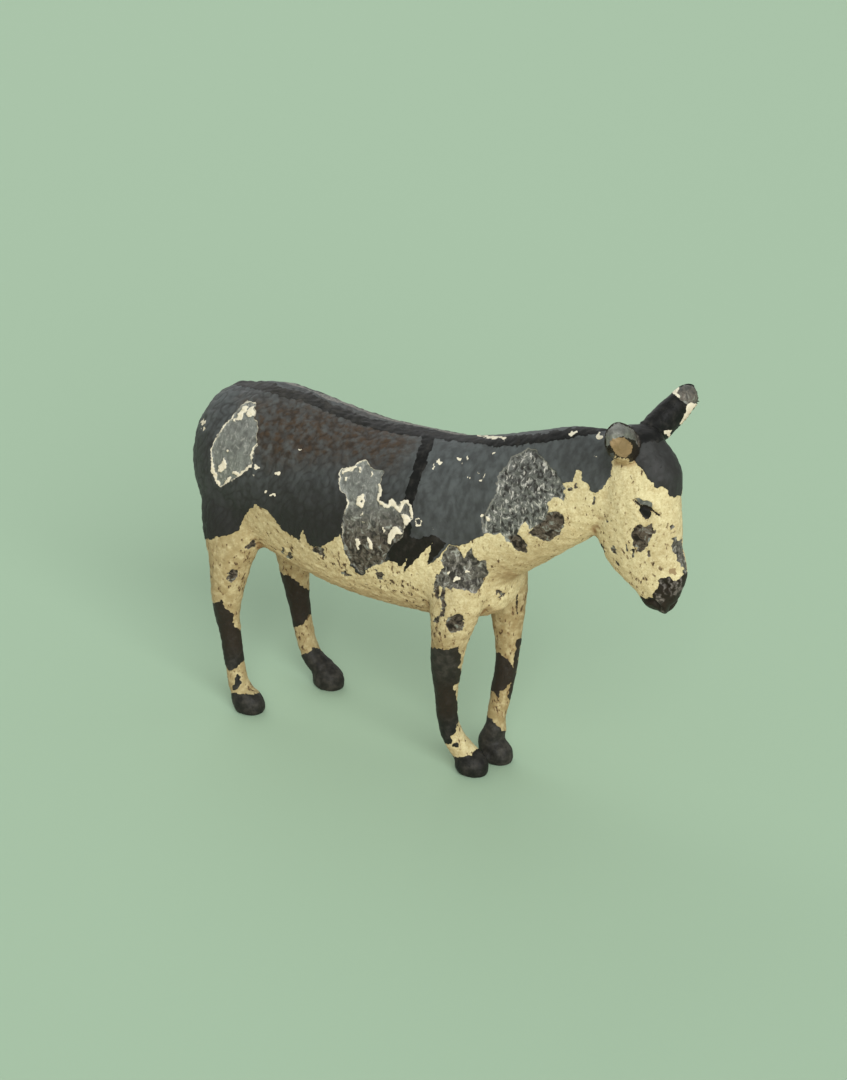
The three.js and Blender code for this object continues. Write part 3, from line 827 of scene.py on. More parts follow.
near_browning = smoothstep(*NEAR_EAR_BROWNS, side_pixels[:, 0])
in_ears = FAR_EAR_TARNISH * inside(far_tip)
in_ears += inside(near_top) * (NEAR_EAR_TARNISH + (1 - NEAR_EAR_TARNISH) * near_browning)
low_flank = smoothstep(*LOW_FLANK, side_pixels[:, 1]) * inside(bright_chips)
scuff = inside(scuffed_chips) + (BRIGHT_SCUFF + LOW_FLANK_SCUFF * low_flank) * inside(bright_chips)
scuff = joined(scuff, GREY_CHIP_SCUFF * inside(grey_chips), EYE_CHIP_SCUFF * inside(eye_chip))
tarnish = smoothstep(*TARNISH_FADE, brown_chips) * (1 - inside(scuffed_chips))
tarnish -= GREY_CHIP_CLEANER * inside(grey_chips)
tarnish = joined(tarnish, LOW_FLANK_TARNISH * low_flank, in_ears)
rim = joined(smoothstep(*RIM_FADE, bright_chips), SCUFFED_RIM * smoothstep(*RIM_FADE, scuffed_chips))
rim *= 1 - smoothstep(*RIM_ENDS, side_pixels[:, 1])
print("scuffed on", int((scuff > 0.5).sum()), "points, tarnished on", int((tarnish > 0.5).sum()))

# %% [markdown]
# ## Islands and flecks
# Flakes leave scraps: cream islands inside the chips and small flecks through the grey. The hidden side has
# the flecks of the coat too, a little lower. Tan lies in the hollows of the ears, where it is partly dirt and
# partly painted shade, and in a spot on the nose.

# %% Draw the islands and flecks
FLANK_ISLANDS = [
    [(358, 496), (363, 495), (365, 502), (361, 508), (356, 503)],
    [(388, 541), (388, 533), (393, 527), (401, 530), (401, 533), (396, 533), (393, 538), (391, 543)],
    [(367, 537), (371, 543), (372, 549), (369, 547)],
    [(402, 514), (406, 515), (411, 521), (404, 525)],
]
FLANK_SCRAPS = [
    [(380, 485), (381, 492), (378, 500)],
    [(380, 503), (385, 507), (389, 506), (391, 500), (395, 507), (400, 510)],
    [(400, 510), (402, 503), (407, 501), (410, 506), (412, 516)],
    [(343, 472), (350, 468), (356, 467)],
    [(357, 540), (358, 548)],
]
FLANK_SCRAP_WIDTH = 3.2
ISLAND_GROWTH = 0.1
FLANK_FLECKS = [(360, 470, 5), (371, 473, 4), (346, 479, 4), (361, 514, 3), (384, 528, 3), (362, 522, 2)]
FLANK_HOLES = [(361, 501, 3), (361, 471, 2)]
RUMP_ISLANDS = [
    [(236, 420), (243, 408), (247, 406), (246, 412), (240, 420)],
    [(247, 412), (250, 407), (254, 405), (254, 415), (249, 417)],
    [(218, 472), (221, 462), (225, 458), (225, 466), (222, 473)],
]
RUMP_SCRAPS = [
    [(257, 443), (252, 448), (252, 458)], [(250, 466), (244, 471), (238, 474), (233, 472)],
    [(230, 479), (224, 484)], [(212, 464), (215, 477), (219, 485)],
]
RUMP_SCRAP_WIDTH = 2.4
RUMP_FLECKS = [(227, 451, 4), (234, 421, 4), (252, 449, 3), (228, 480, 4)]
SHOULDER_FLECKS = [(449, 572, 4), (468, 573, 3), (456, 580, 4), (459, 579, 3)]
COAT_FLECKS = [
    (440, 462, 3.4), (437, 464, 2.4), (434, 467, 2.2), (459, 459, 2.4), (463, 465, 3), (467, 459, 3),
    (470, 465, 2.4), (461, 462, 2), (467, 477, 2.4), (471, 478, 2.4), (482, 480, 3.2), (484, 476, 2.4),
    (479, 474, 2), (495, 455, 2.4), (279, 473, 5), (275, 473, 3), (257, 467, 4), (273, 495, 3),
    (266, 491, 2), (254, 474, 2), (203, 422, 4), (204, 428, 3), (572, 434, 3),
    (599, 437, 5), (596, 456, 3), (487, 519, 4), (483, 516, 3), (433, 529, 2), (301, 449, 2),
]
HIDDEN_FLECK_DROP = 14
BLISTER = [(418, 522, 8)]
BLISTER_HOLE = [(418, 522, 5)]
STRIPE_FLECKS = [[(478, 436), (486, 438), (505, 439)], [(570, 434), (576, 433)]]
STRIPE_FLECK_WIDTH = 2.5
FAR_EAR_CORNER = [(673, 391), (676, 388), (680, 389), (678, 393), (681, 398), (677, 399)]
FAR_EAR_STRIP = [
    (684, 405), (690, 402), (696, 403), (691, 411), (685, 418), (680, 426), (678, 424), (683, 414),
]
FAR_EAR_BASE = [(662, 430), (670, 429), (668, 436), (662, 434)]
NOSE_SPOT = [(673, 572, 7)]
hidden_flecks = [(across, down + HIDDEN_FLECK_DROP, width) for across, down, width in COAT_FLECKS]
island = joined(
    within(front_or_near, joined(
        outlines(FLANK_ISLANDS, side_pixels) + ISLAND_GROWTH,
        outlines(RUMP_ISLANDS, side_pixels),
        strokes(FLANK_SCRAPS, FLANK_SCRAP_WIDTH, side_pixels),
        strokes(RUMP_SCRAPS, RUMP_SCRAP_WIDTH, side_pixels),
        spots(FLANK_FLECKS + RUMP_FLECKS + SHOULDER_FLECKS + COAT_FLECKS, torn_pixels),
        spots(BLISTER, side_pixels),
    )),
    within(hidden_body, spots(hidden_flecks, torn_pixels)),
    within(on_body * seen, strokes(STRIPE_FLECKS, STRIPE_FLECK_WIDTH, seen_pixels)),
    within(on("ear_left"), outlines((FAR_EAR_CORNER, FAR_EAR_STRIP), seen_pixels)),
    within(np.maximum(on("ear_left"), on_body), outline(FAR_EAR_BASE, seen_pixels)),
)
holes = within(front_or_near, spots(FLANK_HOLES + BLISTER_HOLE, side_pixels))
island = np.minimum(island, -holes)
# Tan with painted shade in the ear hollows, and a tan spot on the nose.
tan_and_hollow_shade = joined(ear_hollow, within(head * seen, spots(NOSE_SPOT, side_pixels)))
print("islands on", int((island > 0).sum()), "points")

# %% [markdown]
# ## Wear, dust, painted highlight and painted shade
# A pale band beside the stripe on the back is a painted highlight where the ridge catches light, and fine
# scrapes cross the muzzle. The hindquarters are mottled brown, and the grey darkens low down and at the rear,
# partly a darker tone and partly painted shade. Dust and pits sit in the cream, and the same values darken
# the cream as painted shade on the legs, the thigh and the chest. Dust and shade differ from casting to
# casting, so they are averaged over neighbours until no border shows. A soft place is a route, a width in
# pixels, the depths in millimetres where it starts and is full, and its strength.

# %% Draw the wear, the dust and the painted light
MUZZLE_SCRAPES = [
    [(655, 592), (658, 595), (663, 602)], [(660, 582), (664, 586), (665, 592)],
    [(668, 580), (672, 586), (671, 596)], [(675, 582), (677, 588), (675, 595)],
    [(681, 577), (681, 586), (679, 592)], [(657, 599), (661, 606)],
]
MUZZLE_SCRAPE_WIDTH = 1.8
RIDGE_HIGHLIGHT_FROM = -34.0
RIDGE_HIGHLIGHT_TO = 20.0
RIDGE_HIGHLIGHT_TAPER = 0.1
RIDGE_HIGHLIGHT_MIDDLE = 2.0
RIDGE_HIGHLIGHT_HALF_WIDTH = 0.8
RIDGE_HIGHLIGHT_RAG = 0.7
RIDGE_HIGHLIGHT_RAG_SIZE = 4.0
RIDGE_HIGHLIGHT_WANDER = 0.6
RIDGE_HIGHLIGHT_WANDER_SIZE = 6.0
BROWN_MOTTLE = [
    (240, 400), (300, 398), (400, 425), (420, 440), (395, 470), (330, 462), (270, 470), (245, 440),
]
BROWN_FADE = (-2.0, 2.5)
REAR_ACROSS = (360, 450)
REAR_DARKENS = (430, 530)
FRONT_DARKENS = (470, 545)
FRONT_DARKNESS = 0.35
DARK_PLACES = [
    ([(572, 458), (602, 470)], 24, (-3, 1), 0.22),
    ([(650, 450), (670, 478)], 44, (-3, 0.5), 0.85),
    ([(198, 450), (200, 480), (212, 515)], 30, (-3, 0.5), 0.6),
]
# Dust with painted shade on the chest, and dust on the cheek.
DUST_AND_SHADE_PLACES = [
    ([(495, 572), (520, 565), (545, 548)], 30, (-2.5, 1.0), 0.45),
    ([(655, 530), (664, 560)], 14, (-2.5, 0.5), 0.4),
]
PITTED_PLACES = [
    ([(280, 540), (330, 555), (400, 590), (430, 600)], 12, (-3.0, 0.5), 0.75),
    ([(596, 540), (618, 560), (634, 572)], 14, (-2.5, 0.5), 0.5),
]
PITTED_BODY = 0.35
PITTED_LIMBS = 0.6
REAR_DUST_AND_SHADE = 0.65
REAR_DUST_AND_SHADE_FROM = (0, -22)
REAR_DUST_AND_SHADE_LIES = (-0.6, 0.0)
# Painted shade with dust: the far fore leg, in the near leg's shadow, and the hind legs, turned from the
# light, are darkened most.
LEG_DUST_AND_SHADE = {"fore_leg_right": 0.4, "fore_leg_left": 1.0, "hind_leg_right": 0.8, "hind_leg_left": 0.85}
DUST_AND_SHADE_ROUNDS = 150
KNEE_DUST_AND_SHADE = [(443, 652), (446, 670)]
KNEE_DUST_WIDTH = 16
KNEE_FADE = (-2.0, 0.5)
KNEE_DUST_AND_SHADE_GAIN = 1.6
KNEE_COOLER = 0.8
LEG_WARMS = (8.0, 12.0)
MUZZLE_WARMS = (26, 30)
MUZZLE_COOLS = (46, 42)
SMEAR_WARMTH = 0.4
BROW_FADE = (-0.2, 0.1)


def soft_place(route, width, fade, strength):
    """Full strength along a stroke, fading out around it."""
    return strength * smoothstep(*fade, stroke(route, width, side_pixels))


# Painted highlight: a pale band along the back ridge beside the stripe, where the ridge catches light. The
# muzzle scrapes joined to it are real wear.
along_ridge = np.minimum(points[:, 0] - RIDGE_HIGHLIGHT_FROM, RIDGE_HIGHLIGHT_TO - points[:, 0])
ridge_width = np.minimum(RIDGE_HIGHLIGHT_HALF_WIDTH, RIDGE_HIGHLIGHT_TAPER * along_ridge)
ridge_width += RIDGE_HIGHLIGHT_RAG * noise_at(points, RIDGE_HIGHLIGHT_RAG_SIZE, NOISE_PLACE["ridge"])
ridge_middle = RIDGE_HIGHLIGHT_MIDDLE + RIDGE_HIGHLIGHT_WANDER * noise_at(points, RIDGE_HIGHLIGHT_WANDER_SIZE, NOISE_PLACE["wander"])
ridge_highlight_and_scrapes = joined(
    within(on_body * upward, np.maximum(ridge_width - abs(points[:, 1] - ridge_middle), OUTSIDE)),
    within(on_body, strokes(MUZZLE_SCRAPES, MUZZLE_SCRAPE_WIDTH, torn_pixels)),
)
brown = smoothstep(*BROWN_FADE, within(on_body, outline(BROWN_MOTTLE, side_pixels)))
# Painted shade with a darker tone: the grey darkens low down and towards the rear, where the sides turn from
# the light.
rear = 1 - smoothstep(*REAR_ACROSS, side_pixels[:, 0])
deep = rear * smoothstep(*REAR_DARKENS, side_pixels[:, 1])
deep += (1 - rear) * FRONT_DARKNESS * smoothstep(*FRONT_DARKENS, side_pixels[:, 1])
deep = joined(deep, *[soft_place(*place) for place in DARK_PLACES])
dust = REAR_DUST_AND_SHADE * smoothstep(*REAR_DUST_AND_SHADE_FROM, points[:, 0]) * smoothstep(*REAR_DUST_AND_SHADE_LIES, normals[:, 2])
dust = on_body * joined(dust, *[soft_place(*place) for place in DUST_AND_SHADE_PLACES])
warm = on_body * smoothstep(*MUZZLE_WARMS, points[:, 0]) * smoothstep(*MUZZLE_COOLS, points[:, 2])
for casting, amount in LEG_DUST_AND_SHADE.items():
    warm[part_of[casting]] = smoothstep(*LEG_WARMS, points[part_of[casting], 2])
    dust[part_of[casting]] = amount
warm[part_of["ear_right"]] = 1.0
knee = smoothstep(*KNEE_FADE, within(on("fore_leg_right"), stroke(KNEE_DUST_AND_SHADE, KNEE_DUST_WIDTH, seen_pixels)))
dust = joined(dust, KNEE_DUST_AND_SHADE_GAIN * knee)
warm = warm * (1 - KNEE_COOLER * knee)
warm = joined(warm, SMEAR_WARMTH * inside(smear), smoothstep(*BROW_FADE, brow_shade))
pitted = np.where(part_of["body"], PITTED_BODY, PITTED_LIMBS)
pitted = joined(pitted, *[soft_place(*place) for place in PITTED_PLACES])
for _ in range(DUST_AND_SHADE_ROUNDS):
    dust = neighbour_mean(dust, edges)
    pitted = neighbour_mean(pitted, edges)
print("rubbed on", int((ridge_highlight_and_scrapes > 0).sum()), "points, brown on", int((brown > 0.5).sum()))

# %% [markdown]
# ## Paint with a thickness
# Old paint stands proud of the metal by one or two tenths of a millimetre, and brush hairs and the sand
# mould leave soft lumps in it. A Displace modifier with a vertex group lifts each coat, so the chip edges are
# steps in the mesh. The soles stay flat on the table. The cream is then darkened below and in the hollows,
# partly as dirt and partly as painted shade.

# %% Lift the paint and find the painted shade and dirt
GREY_THICKNESS = 0.07
BLACK_THICKNESS = 0.05
METAL_DEPTH = -0.14
STROKE_LUMP = 0.22
STROKE_LENGTH = 1.9
STROKE_BREADTH = 1.05
VALLEY_SHADE_WIDTH = 0.28
SCUFF_LUMP = 0.16
SCUFF_SIZE = 0.75
SAND_LUMP = 0.13
SAND_SIZE = 1.25
GRIT_LUMP = 0.06
GRIT_SIZE = 0.6
STROKE_LEAN = math.radians(32)
EDGE = 0.10
BLACK_LUMPS = 0.6
FRONT_LUMPS = 0.45
FRONT_VALLEY_SHADE = 0.3
COATED_SAND = 0.5
LEAST_SCUFF = 0.15
RELAX_ROUNDS = 60
BELOW_SHADE_AND_DIRT = 0.75
HEAD_LESS_SHADED = 0.6
BELOW_FADE = (0.2, 0.95)
HOLLOW_FADE = (0.06, 0.35)


def in_paint(depth):
    """How far a point is under a coat, with the narrow edge that a step in the paint has."""
    return smoothstep(-EDGE, EDGE, depth)


def brush_lumps(points):
    """Round lumps with sharp valleys, drawn out along slanting brush strokes."""
    along = points[:, 0] * math.sin(STROKE_LEAN) + points[:, 2] * math.cos(STROKE_LEAN)
    across = points[:, 0] * math.cos(STROKE_LEAN) - points[:, 2] * math.sin(STROKE_LEAN)
    sideways = points[:, 1]
    stretched = np.column_stack((across / STROKE_BREADTH, sideways / STROKE_BREADTH, along / STROKE_LENGTH))
    return abs(noise_at(stretched, 1.0))


points = read_points(skin)
metal = in_paint(bare) * (1 - in_paint(island))
grey_share = in_paint(grey) * (1 - metal)
black_share = in_paint(black) * (1 - metal)
relief = GREY_THICKNESS * grey_share + BLACK_THICKNESS * black_share + METAL_DEPTH * metal
lumps = brush_lumps(points)
lumpy_share = np.maximum(grey_share, BLACK_LUMPS * black_share) * (FRONT_LUMPS + (1 - FRONT_LUMPS) * rear)
relief += STROKE_LUMP * (lumps - lumps.mean()) * lumpy_share
# Painted shade: the valleys between brush lumps are marked for the shader to darken, more on the rear.
valley = (1 - smoothstep(0.0, VALLEY_SHADE_WIDTH, lumps)) * (FRONT_VALLEY_SHADE + (1 - FRONT_VALLEY_SHADE) * rear)
sand = SAND_LUMP * noise_at(points, SAND_SIZE, NOISE_PLACE["sand"])
sand += GRIT_LUMP * noise_at(points, GRIT_SIZE, NOISE_PLACE["grit"])
relief += sand * (1 - COATED_SAND * np.maximum(grey_share, in_paint(black))) * (1 - metal)
scuffs = SCUFF_LUMP * noise_at(points, SCUFF_SIZE, NOISE_PLACE["scuff"])
relief += scuffs * metal * np.clip(scuff + tarnish, LEAST_SCUFF, 1)
lowest, highest = relief.min(), relief.max()
lift = weigh(skin, "paint", (relief - lowest) / (highest - lowest))
apply_modifier(skin, "DISPLACE", strength=lowest * MM, mid_level=0)
apply_modifier(skin, "DISPLACE", strength=(highest - lowest) * MM, mid_level=0, vertex_group=lift)
skin.vertex_groups.clear()

points = read_points(skin)
points[:, 2] = np.maximum(points[:, 2], 0)
write_points(skin, points)
normals = read_normals(skin)
relaxed = points.copy()
for _ in range(RELAX_ROUNDS):
    relaxed = np.column_stack([neighbour_mean(relaxed[:, axis], edges) for axis in range(3)])
hollowness = ((relaxed - points) * normals).sum(axis=1)
# Painted shade with some dirt: the cream browns where the skin faces down and in its hollows, less under the
# head.
below = (BELOW_SHADE_AND_DIRT - HEAD_LESS_SHADED * head) * smoothstep(*BELOW_FADE, -normals[:, 2])
grime = np.clip(below + smoothstep(*HOLLOW_FADE, hollowness), 0, 1)
print("relief from", round(lowest, 3), "to", round(highest, 3), "mm; dirt on", int((grime > 0.5).sum()))

# %% [markdown]
# ## Hand the drawing to the shader
# Every drawn depth becomes a float attribute of the mesh. The shader reads them by name, so the same
# paint follows the mesh wherever it is cut, and no picture file is needed.

# %% Store the attributes
DRAWINGS = {
    "grey_depth": grey, "black_depth": black, "bare_depth": bare, "island_depth": island,
    "tan_depth": tan_and_hollow_shade, "rubbed_depth": ridge_highlight_and_scrapes, "scuff": scuff, "tarnish": tarnish, "rim": rim,
    "brown": brown, "warm": warm, "deep": deep, "valley": valley, "pitted": pitted, "grime": grime,
    "dust": dust,
}


def store(piece, name, values):
    attribute = piece.data.attributes.new(name, "FLOAT", "POINT")
    attribute.data.foreach_set("value", values.astype(np.float32))


for name, values in DRAWINGS.items():
    store(skin, name, values)
smooth_normal = skin.data.attributes.new("smooth_normal", "FLOAT_VECTOR", "POINT")
smooth_normal.data.foreach_set("vector", normals.astype(np.float32).ravel())
print("attributes:", ", ".join(DRAWINGS))

# %% [markdown]
# ## The cold-paint material
# One set of layers covers all the castings, because they were painted after soldering. Cream comes first,
# then grey, black, tan (partly painted shade in the ear hollows), the pale places (a painted highlight on the
# back ridge and scrapes on the muzzle), the white rim of torn primer, bare metal and the cream scraps. Fine
# noise shakes every zero line once more, so an edge stays ragged even closer than the mesh can show.

# %% Colours and node helpers
def srgb(red, green, blue):
    """A colour written as 8-bit screen values, as linear light."""
    shares = [value / 255 for value in (red, green, blue)]
    return [s / 12.92 if s <= 0.04045 else ((s + 0.055) / 1.055) ** 2.4 for s in shares] + [1.0]


CREAM_LIGHT = srgb(216, 208, 160)
CREAM_DARK = srgb(202, 190, 142)
CREAM_PALE = srgb(232, 226, 182)
CREAM_DUST_AND_SHADE = srgb(152, 136, 94)
CREAM_SHADE_AND_GRIME = srgb(146, 114, 74)
PIT_BROWN = srgb(132, 106, 70)
PIT_DARK = srgb(66, 53, 38)
SLATE_LIGHT = srgb(88, 94, 93)
SLATE_DARK = srgb(70, 74, 73)
SLATE_DEEP = srgb(33, 31, 28)
SLATE_VALLEY_SHADE = srgb(38, 36, 33)
COAT_BROWN = srgb(70, 58, 45)
BLACK_SOFT = srgb(50, 49, 45)
BLACK_DUSTY = srgb(92, 90, 81)
BLACK_DEEP = srgb(18, 19, 17)
BLACK_WARM = srgb(44, 36, 27)
PRIMER = srgb(232, 227, 202)
METAL_PALE = srgb(206, 205, 194)
METAL_GREY = srgb(150, 155, 147)
METAL_DULL = srgb(116, 119, 113)
METAL_DARK = srgb(60, 59, 56)
METAL_BROWN = srgb(100, 90, 78)
METAL_BLACK = srgb(42, 36, 31)
TAN_AND_SHADE = srgb(152, 132, 96)
PALE_HIGHLIGHT_AND_SCRAPE = srgb(150, 146, 138)


class PaintNodes:
    """Short names for the few node kinds that the paint is built from."""

    def __init__(self, material):
        self.tree = material.node_tree
        self.place = self.tree.nodes.new("ShaderNodeTexCoord").outputs["Object"]

    def put(self, socket, value):
        if isinstance(value, bpy.types.NodeSocket):
            self.tree.links.new(value, socket)
        else:
            socket.default_value = value

    def attribute(self, name):
        node = self.tree.nodes.new("ShaderNodeAttribute")
        node.attribute_name = name
        return node.outputs["Fac"]

    def noise(self, size, detail=3.0, roughness=0.55, stretch=None, curl=0.0):
        """Noise from 0 to 1 with lumps of a given size in millimetres."""
        node = self.tree.nodes.new("ShaderNodeTexNoise")
        node.inputs["Scale"].default_value = 1 / (size * MM)
        node.inputs["Detail"].default_value = detail
        node.inputs["Roughness"].default_value = roughness
        node.inputs["Distortion"].default_value = curl
        place = self.place
        if stretch:
            mapping = self.tree.nodes.new("ShaderNodeMapping")
            mapping.inputs["Rotation"].default_value = (0, stretch[0], 0)
            mapping.inputs["Scale"].default_value = (1, 1, 1 / stretch[1])
            self.put(mapping.inputs["Vector"], place)
            place = mapping.outputs["Vector"]
        self.put(node.inputs["Vector"], place)
        return node.outputs["Fac"]

    def math(self, operation, first, second):
        node = self.tree.nodes.new("ShaderNodeMath")
        node.operation = operation
        self.put(node.inputs[0], first)
        self.put(node.inputs[1], second)
        return node.outputs[0]

    def times(self, first, second):
        return self.math("MULTIPLY", first, second)

    def plus(self, first, second):
        return self.math("ADD", first, second)

    def minus(self, first, second):
        return self.math("SUBTRACT", first, second)

    def ramp(self, value, low, high, start=0.0, end=1.0):
        """Maps a range smoothly onto another one."""
        node = self.tree.nodes.new("ShaderNodeMapRange")
        node.interpolation_type = "SMOOTHSTEP"
        self.put(node.inputs["Value"], value)
        for name, number in zip(("From Min", "From Max", "To Min", "To Max"), (low, high, start, end)):
            node.inputs[name].default_value = number
        return node.outputs["Result"]

    def mix(self, share, under, over):
        """Lays one colour over another."""
        node = self.tree.nodes.new("ShaderNodeMix")
        node.data_type = "RGBA"
        self.put(node.inputs[0], share)
        self.put(node.inputs[6], under)
        self.put(node.inputs[7], over)
        return node.outputs[2]

    def blend(self, share, under, over):
        """Mixes two numbers."""
        node = self.tree.nodes.new("ShaderNodeMix")
        self.put(node.inputs[0], share)
        self.put(node.inputs[2], under)
        self.put(node.inputs[3], over)
        return node.outputs[0]


print("colours ready: cream", [round(x, 3) for x in CREAM_LIGHT[:3]])

# %% Mix each coat
DEEPEST = 0.85


def cream_coat(paint, patches, fine, pit_level):
    """Yellowed cream, browner under dust and under painted shade below the casting, in its hollows and on
    shaded legs, with dark pits and cracks.
    """
    cream = paint.mix(paint.ramp(patches, 0.3, 0.7), CREAM_LIGHT, CREAM_DARK)
    cream = paint.mix(paint.ramp(fine, 0.48, 0.66, 0.0, 0.7), cream, CREAM_PALE)
    cream = paint.mix(paint.ramp(fine, 0.44, 0.30, 0.0, 0.6), cream, CREAM_DUST_AND_SHADE)
    # Dust, and painted shade on the shaded legs, thigh and chest.
    dust = paint.times(paint.attribute("dust"), paint.ramp(patches, 0.3, 0.6, 0.55, 1.0))
    cream = paint.mix(dust, cream, CREAM_DUST_AND_SHADE)
    # Painted shade with some dirt: browner under the casting and in its hollows.
    grime = paint.times(paint.attribute("grime"), paint.ramp(patches, 0.25, 0.7, 0.65, 1.0))
    cream = paint.mix(grime, cream, CREAM_SHADE_AND_GRIME)
    cream = paint.mix(paint.ramp(pit_level, 0.64, 0.72, 0.0, 0.7), cream, PIT_BROWN)
    return paint.mix(paint.ramp(pit_level, 0.70, 0.76, 0.0, 0.9), cream, PIT_DARK)


def grey_coat(paint, streaks, patches):
    """Slate grey, brown on the hindquarters, darker low down and at the rear as painted shade with a darker
    tone, and painted shade in the valleys between brush lumps.
    """
    slate = paint.mix(paint.ramp(streaks, 0.3, 0.7), SLATE_DARK, SLATE_LIGHT)
    brown = paint.times(paint.attribute("brown"), paint.ramp(patches, 0.35, 0.65, 0.25, 1.0))
    slate = paint.mix(brown, slate, COAT_BROWN)
    # Painted shade with a darker paint tone, low down and at the rear.
    slate = paint.mix(paint.times(paint.attribute("deep"), DEEPEST), slate, SLATE_DEEP)
    # Painted shade in the valleys between brush lumps.
    valley = paint.times(paint.attribute("valley"), paint.ramp(patches, 0.3, 0.6, 0.15, 0.6))
    return paint.mix(valley, slate, SLATE_VALLEY_SHADE)


def black_coat(paint, patches, fine):
    """Thin black, greyer where it is rubbed or dusty and brown on the legs, muzzle and near ear."""
    black = paint.mix(paint.ramp(patches, 0.45, 0.8), BLACK_DEEP, BLACK_SOFT)
    dusty = paint.times(paint.attribute("dust"), paint.ramp(patches, 0.3, 0.7, 0.1, 0.32))
    black = paint.mix(dusty, black, BLACK_DUSTY)
    brown = paint.times(paint.attribute("warm"), paint.ramp(fine, 0.3, 0.6, 0.4, 0.9))
    return paint.mix(brown, black, BLACK_WARM)


def bare_metal(paint, patches, scrawl, scratches):
    """Dull grey casting metal, scratched bright in some chips and tarnished brown in others."""
    plain = paint.mix(paint.ramp(patches, 0.3, 0.65), METAL_DULL, METAL_GREY)
    scuffed = paint.mix(paint.ramp(scrawl, 0.38, 0.56), METAL_DARK, METAL_DULL)
    scuffed = paint.mix(paint.ramp(scrawl, 0.56, 0.68), scuffed, METAL_PALE)
    scuffed = paint.mix(paint.ramp(scratches, 0.56, 0.68), scuffed, METAL_PALE)
    brown = paint.mix(paint.ramp(scrawl, 0.38, 0.56), METAL_BLACK, METAL_BROWN)
    brown = paint.mix(paint.ramp(scrawl, 0.54, 0.68), brown, METAL_GREY)
    metal = paint.mix(paint.attribute("scuff"), plain, scuffed)
    return paint.mix(paint.attribute("tarnish"), metal, brown)


print("coats: cream, grey, black and bare metal")

# %% Build the material
RAG_DEPTH = 0.45
EDGE_DEPTH = 0.03
RIM_WIDTH = 0.12
RIM_EDGE = 0.05
HIGHLIGHT_AND_SCRAPE_EDGE = 0.2
SHINE = 0.2
CREAM_ROUGHNESS = 0.66
METAL_SHARE = 0.3
BUMP_DISTANCE = 0.08
BUMP_STRENGTH = 0.9


def cold_paint(name):
    """All the coats in their order, with the roughness, metal and fine bump that belong to them."""
    material = bpy.data.materials.new(name)
    material.use_nodes = True
    shader = material.node_tree.nodes["Principled BSDF"]
    shader.inputs["Specular IOR Level"].default_value = SHINE
    paint = PaintNodes(material)
    rag = paint.times(paint.minus(paint.noise(0.6, 5.0, 0.65), 0.5), RAG_DEPTH)
    fine = paint.noise(0.35, 4.0, 0.6)
    broad = paint.noise(3.5, 3.0)
    patches = paint.noise(1.2, 4.0, 0.6)
    streaks = paint.noise(1.1, 3.0, 0.5, stretch=(-0.5, 2.0))
    scrawl = paint.noise(1.0, 5.0, 0.6, curl=0.9)
    scratches = paint.noise(0.5, 3.0, 0.6, stretch=(0.6, 3.5), curl=0.6)
    pit_noise = paint.noise(0.6, 4.0, 0.6, stretch=(1.2, 2.0))
    crowding = paint.times(paint.attribute("pitted"), paint.ramp(broad, 0.35, 0.6, 0.06, 0.19))
    pit_level = paint.plus(crowding, pit_noise)

    def covers(depth, lift=0.0, edge=EDGE_DEPTH):
        shaken_depth = paint.plus(paint.plus(paint.attribute(depth), rag), lift)
        return paint.ramp(shaken_depth, -edge, edge)

    grey_cover = covers("grey_depth")
    black_cover = covers("black_depth")
    bare_cover = covers("bare_depth")
    island_cover = covers("island_depth")
    rim_cover = paint.times(covers("bare_depth", RIM_WIDTH, RIM_EDGE), paint.attribute("rim"))
    rim_cover = paint.times(rim_cover, paint.ramp(broad, 0.35, 0.55))
    # Painted highlight on the back ridge, together with the muzzle scrapes.
    highlight_and_scrape_cover = covers("rubbed_depth", edge=HIGHLIGHT_AND_SCRAPE_EDGE)
    highlight_and_scrape_cover = paint.times(highlight_and_scrape_cover, paint.ramp(fine, 0.35, 0.65, 0.2, 0.9))
    colour = cream_coat(paint, patches, fine, pit_level)
    colour = paint.mix(grey_cover, colour, grey_coat(paint, streaks, patches))
    colour = paint.mix(black_cover, colour, black_coat(paint, patches, fine))
    # Tan, partly painted shade in the ear hollows.
    colour = paint.mix(covers("tan_depth"), colour, TAN_AND_SHADE)
    colour = paint.mix(highlight_and_scrape_cover, colour, PALE_HIGHLIGHT_AND_SCRAPE)
    colour = paint.mix(rim_cover, colour, PRIMER)
    colour = paint.mix(bare_cover, colour, bare_metal(paint, patches, scrawl, scratches))
    colour = paint.mix(island_cover, colour, paint.mix(paint.ramp(fine, 0.5, 0.8), PRIMER, CREAM_DARK))
    paint.put(shader.inputs["Base Color"], colour)

    rough = paint.blend(grey_cover, CREAM_ROUGHNESS, paint.ramp(streaks, 0.3, 0.7, 0.44, 0.6))
    rough = paint.blend(black_cover, rough, paint.ramp(patches, 0.3, 0.7, 0.46, 0.62))
    rough = paint.blend(bare_cover, rough, paint.ramp(fine, 0.3, 0.7, 0.4, 0.6))
    paint.put(shader.inputs["Roughness"], rough)
    bright = paint.times(bare_cover, paint.minus(1.0, island_cover))
    paint.put(shader.inputs["Metallic"], paint.times(bright, METAL_SHARE))

    height = paint.times(fine, 0.35)
    raised = [(patches, 0.8), (paint.times(scrawl, bright), 1.5), (grey_cover, 0.5), (black_cover, 0.3)]
    for layer, amount in raised:
        height = paint.plus(height, paint.times(layer, amount))
    height = paint.minus(height, bright)
    height = paint.minus(height, paint.ramp(pit_level, 0.68, 0.76, 0.0, 0.6))
    bump = material.node_tree.nodes.new("ShaderNodeBump")
    bump.inputs["Distance"].default_value = BUMP_DISTANCE * MM
    bump.inputs["Strength"].default_value = BUMP_STRENGTH
    paint.put(bump.inputs["Height"], height)
    paint.put(shader.inputs["Normal"], bump.outputs["Normal"])
    return material


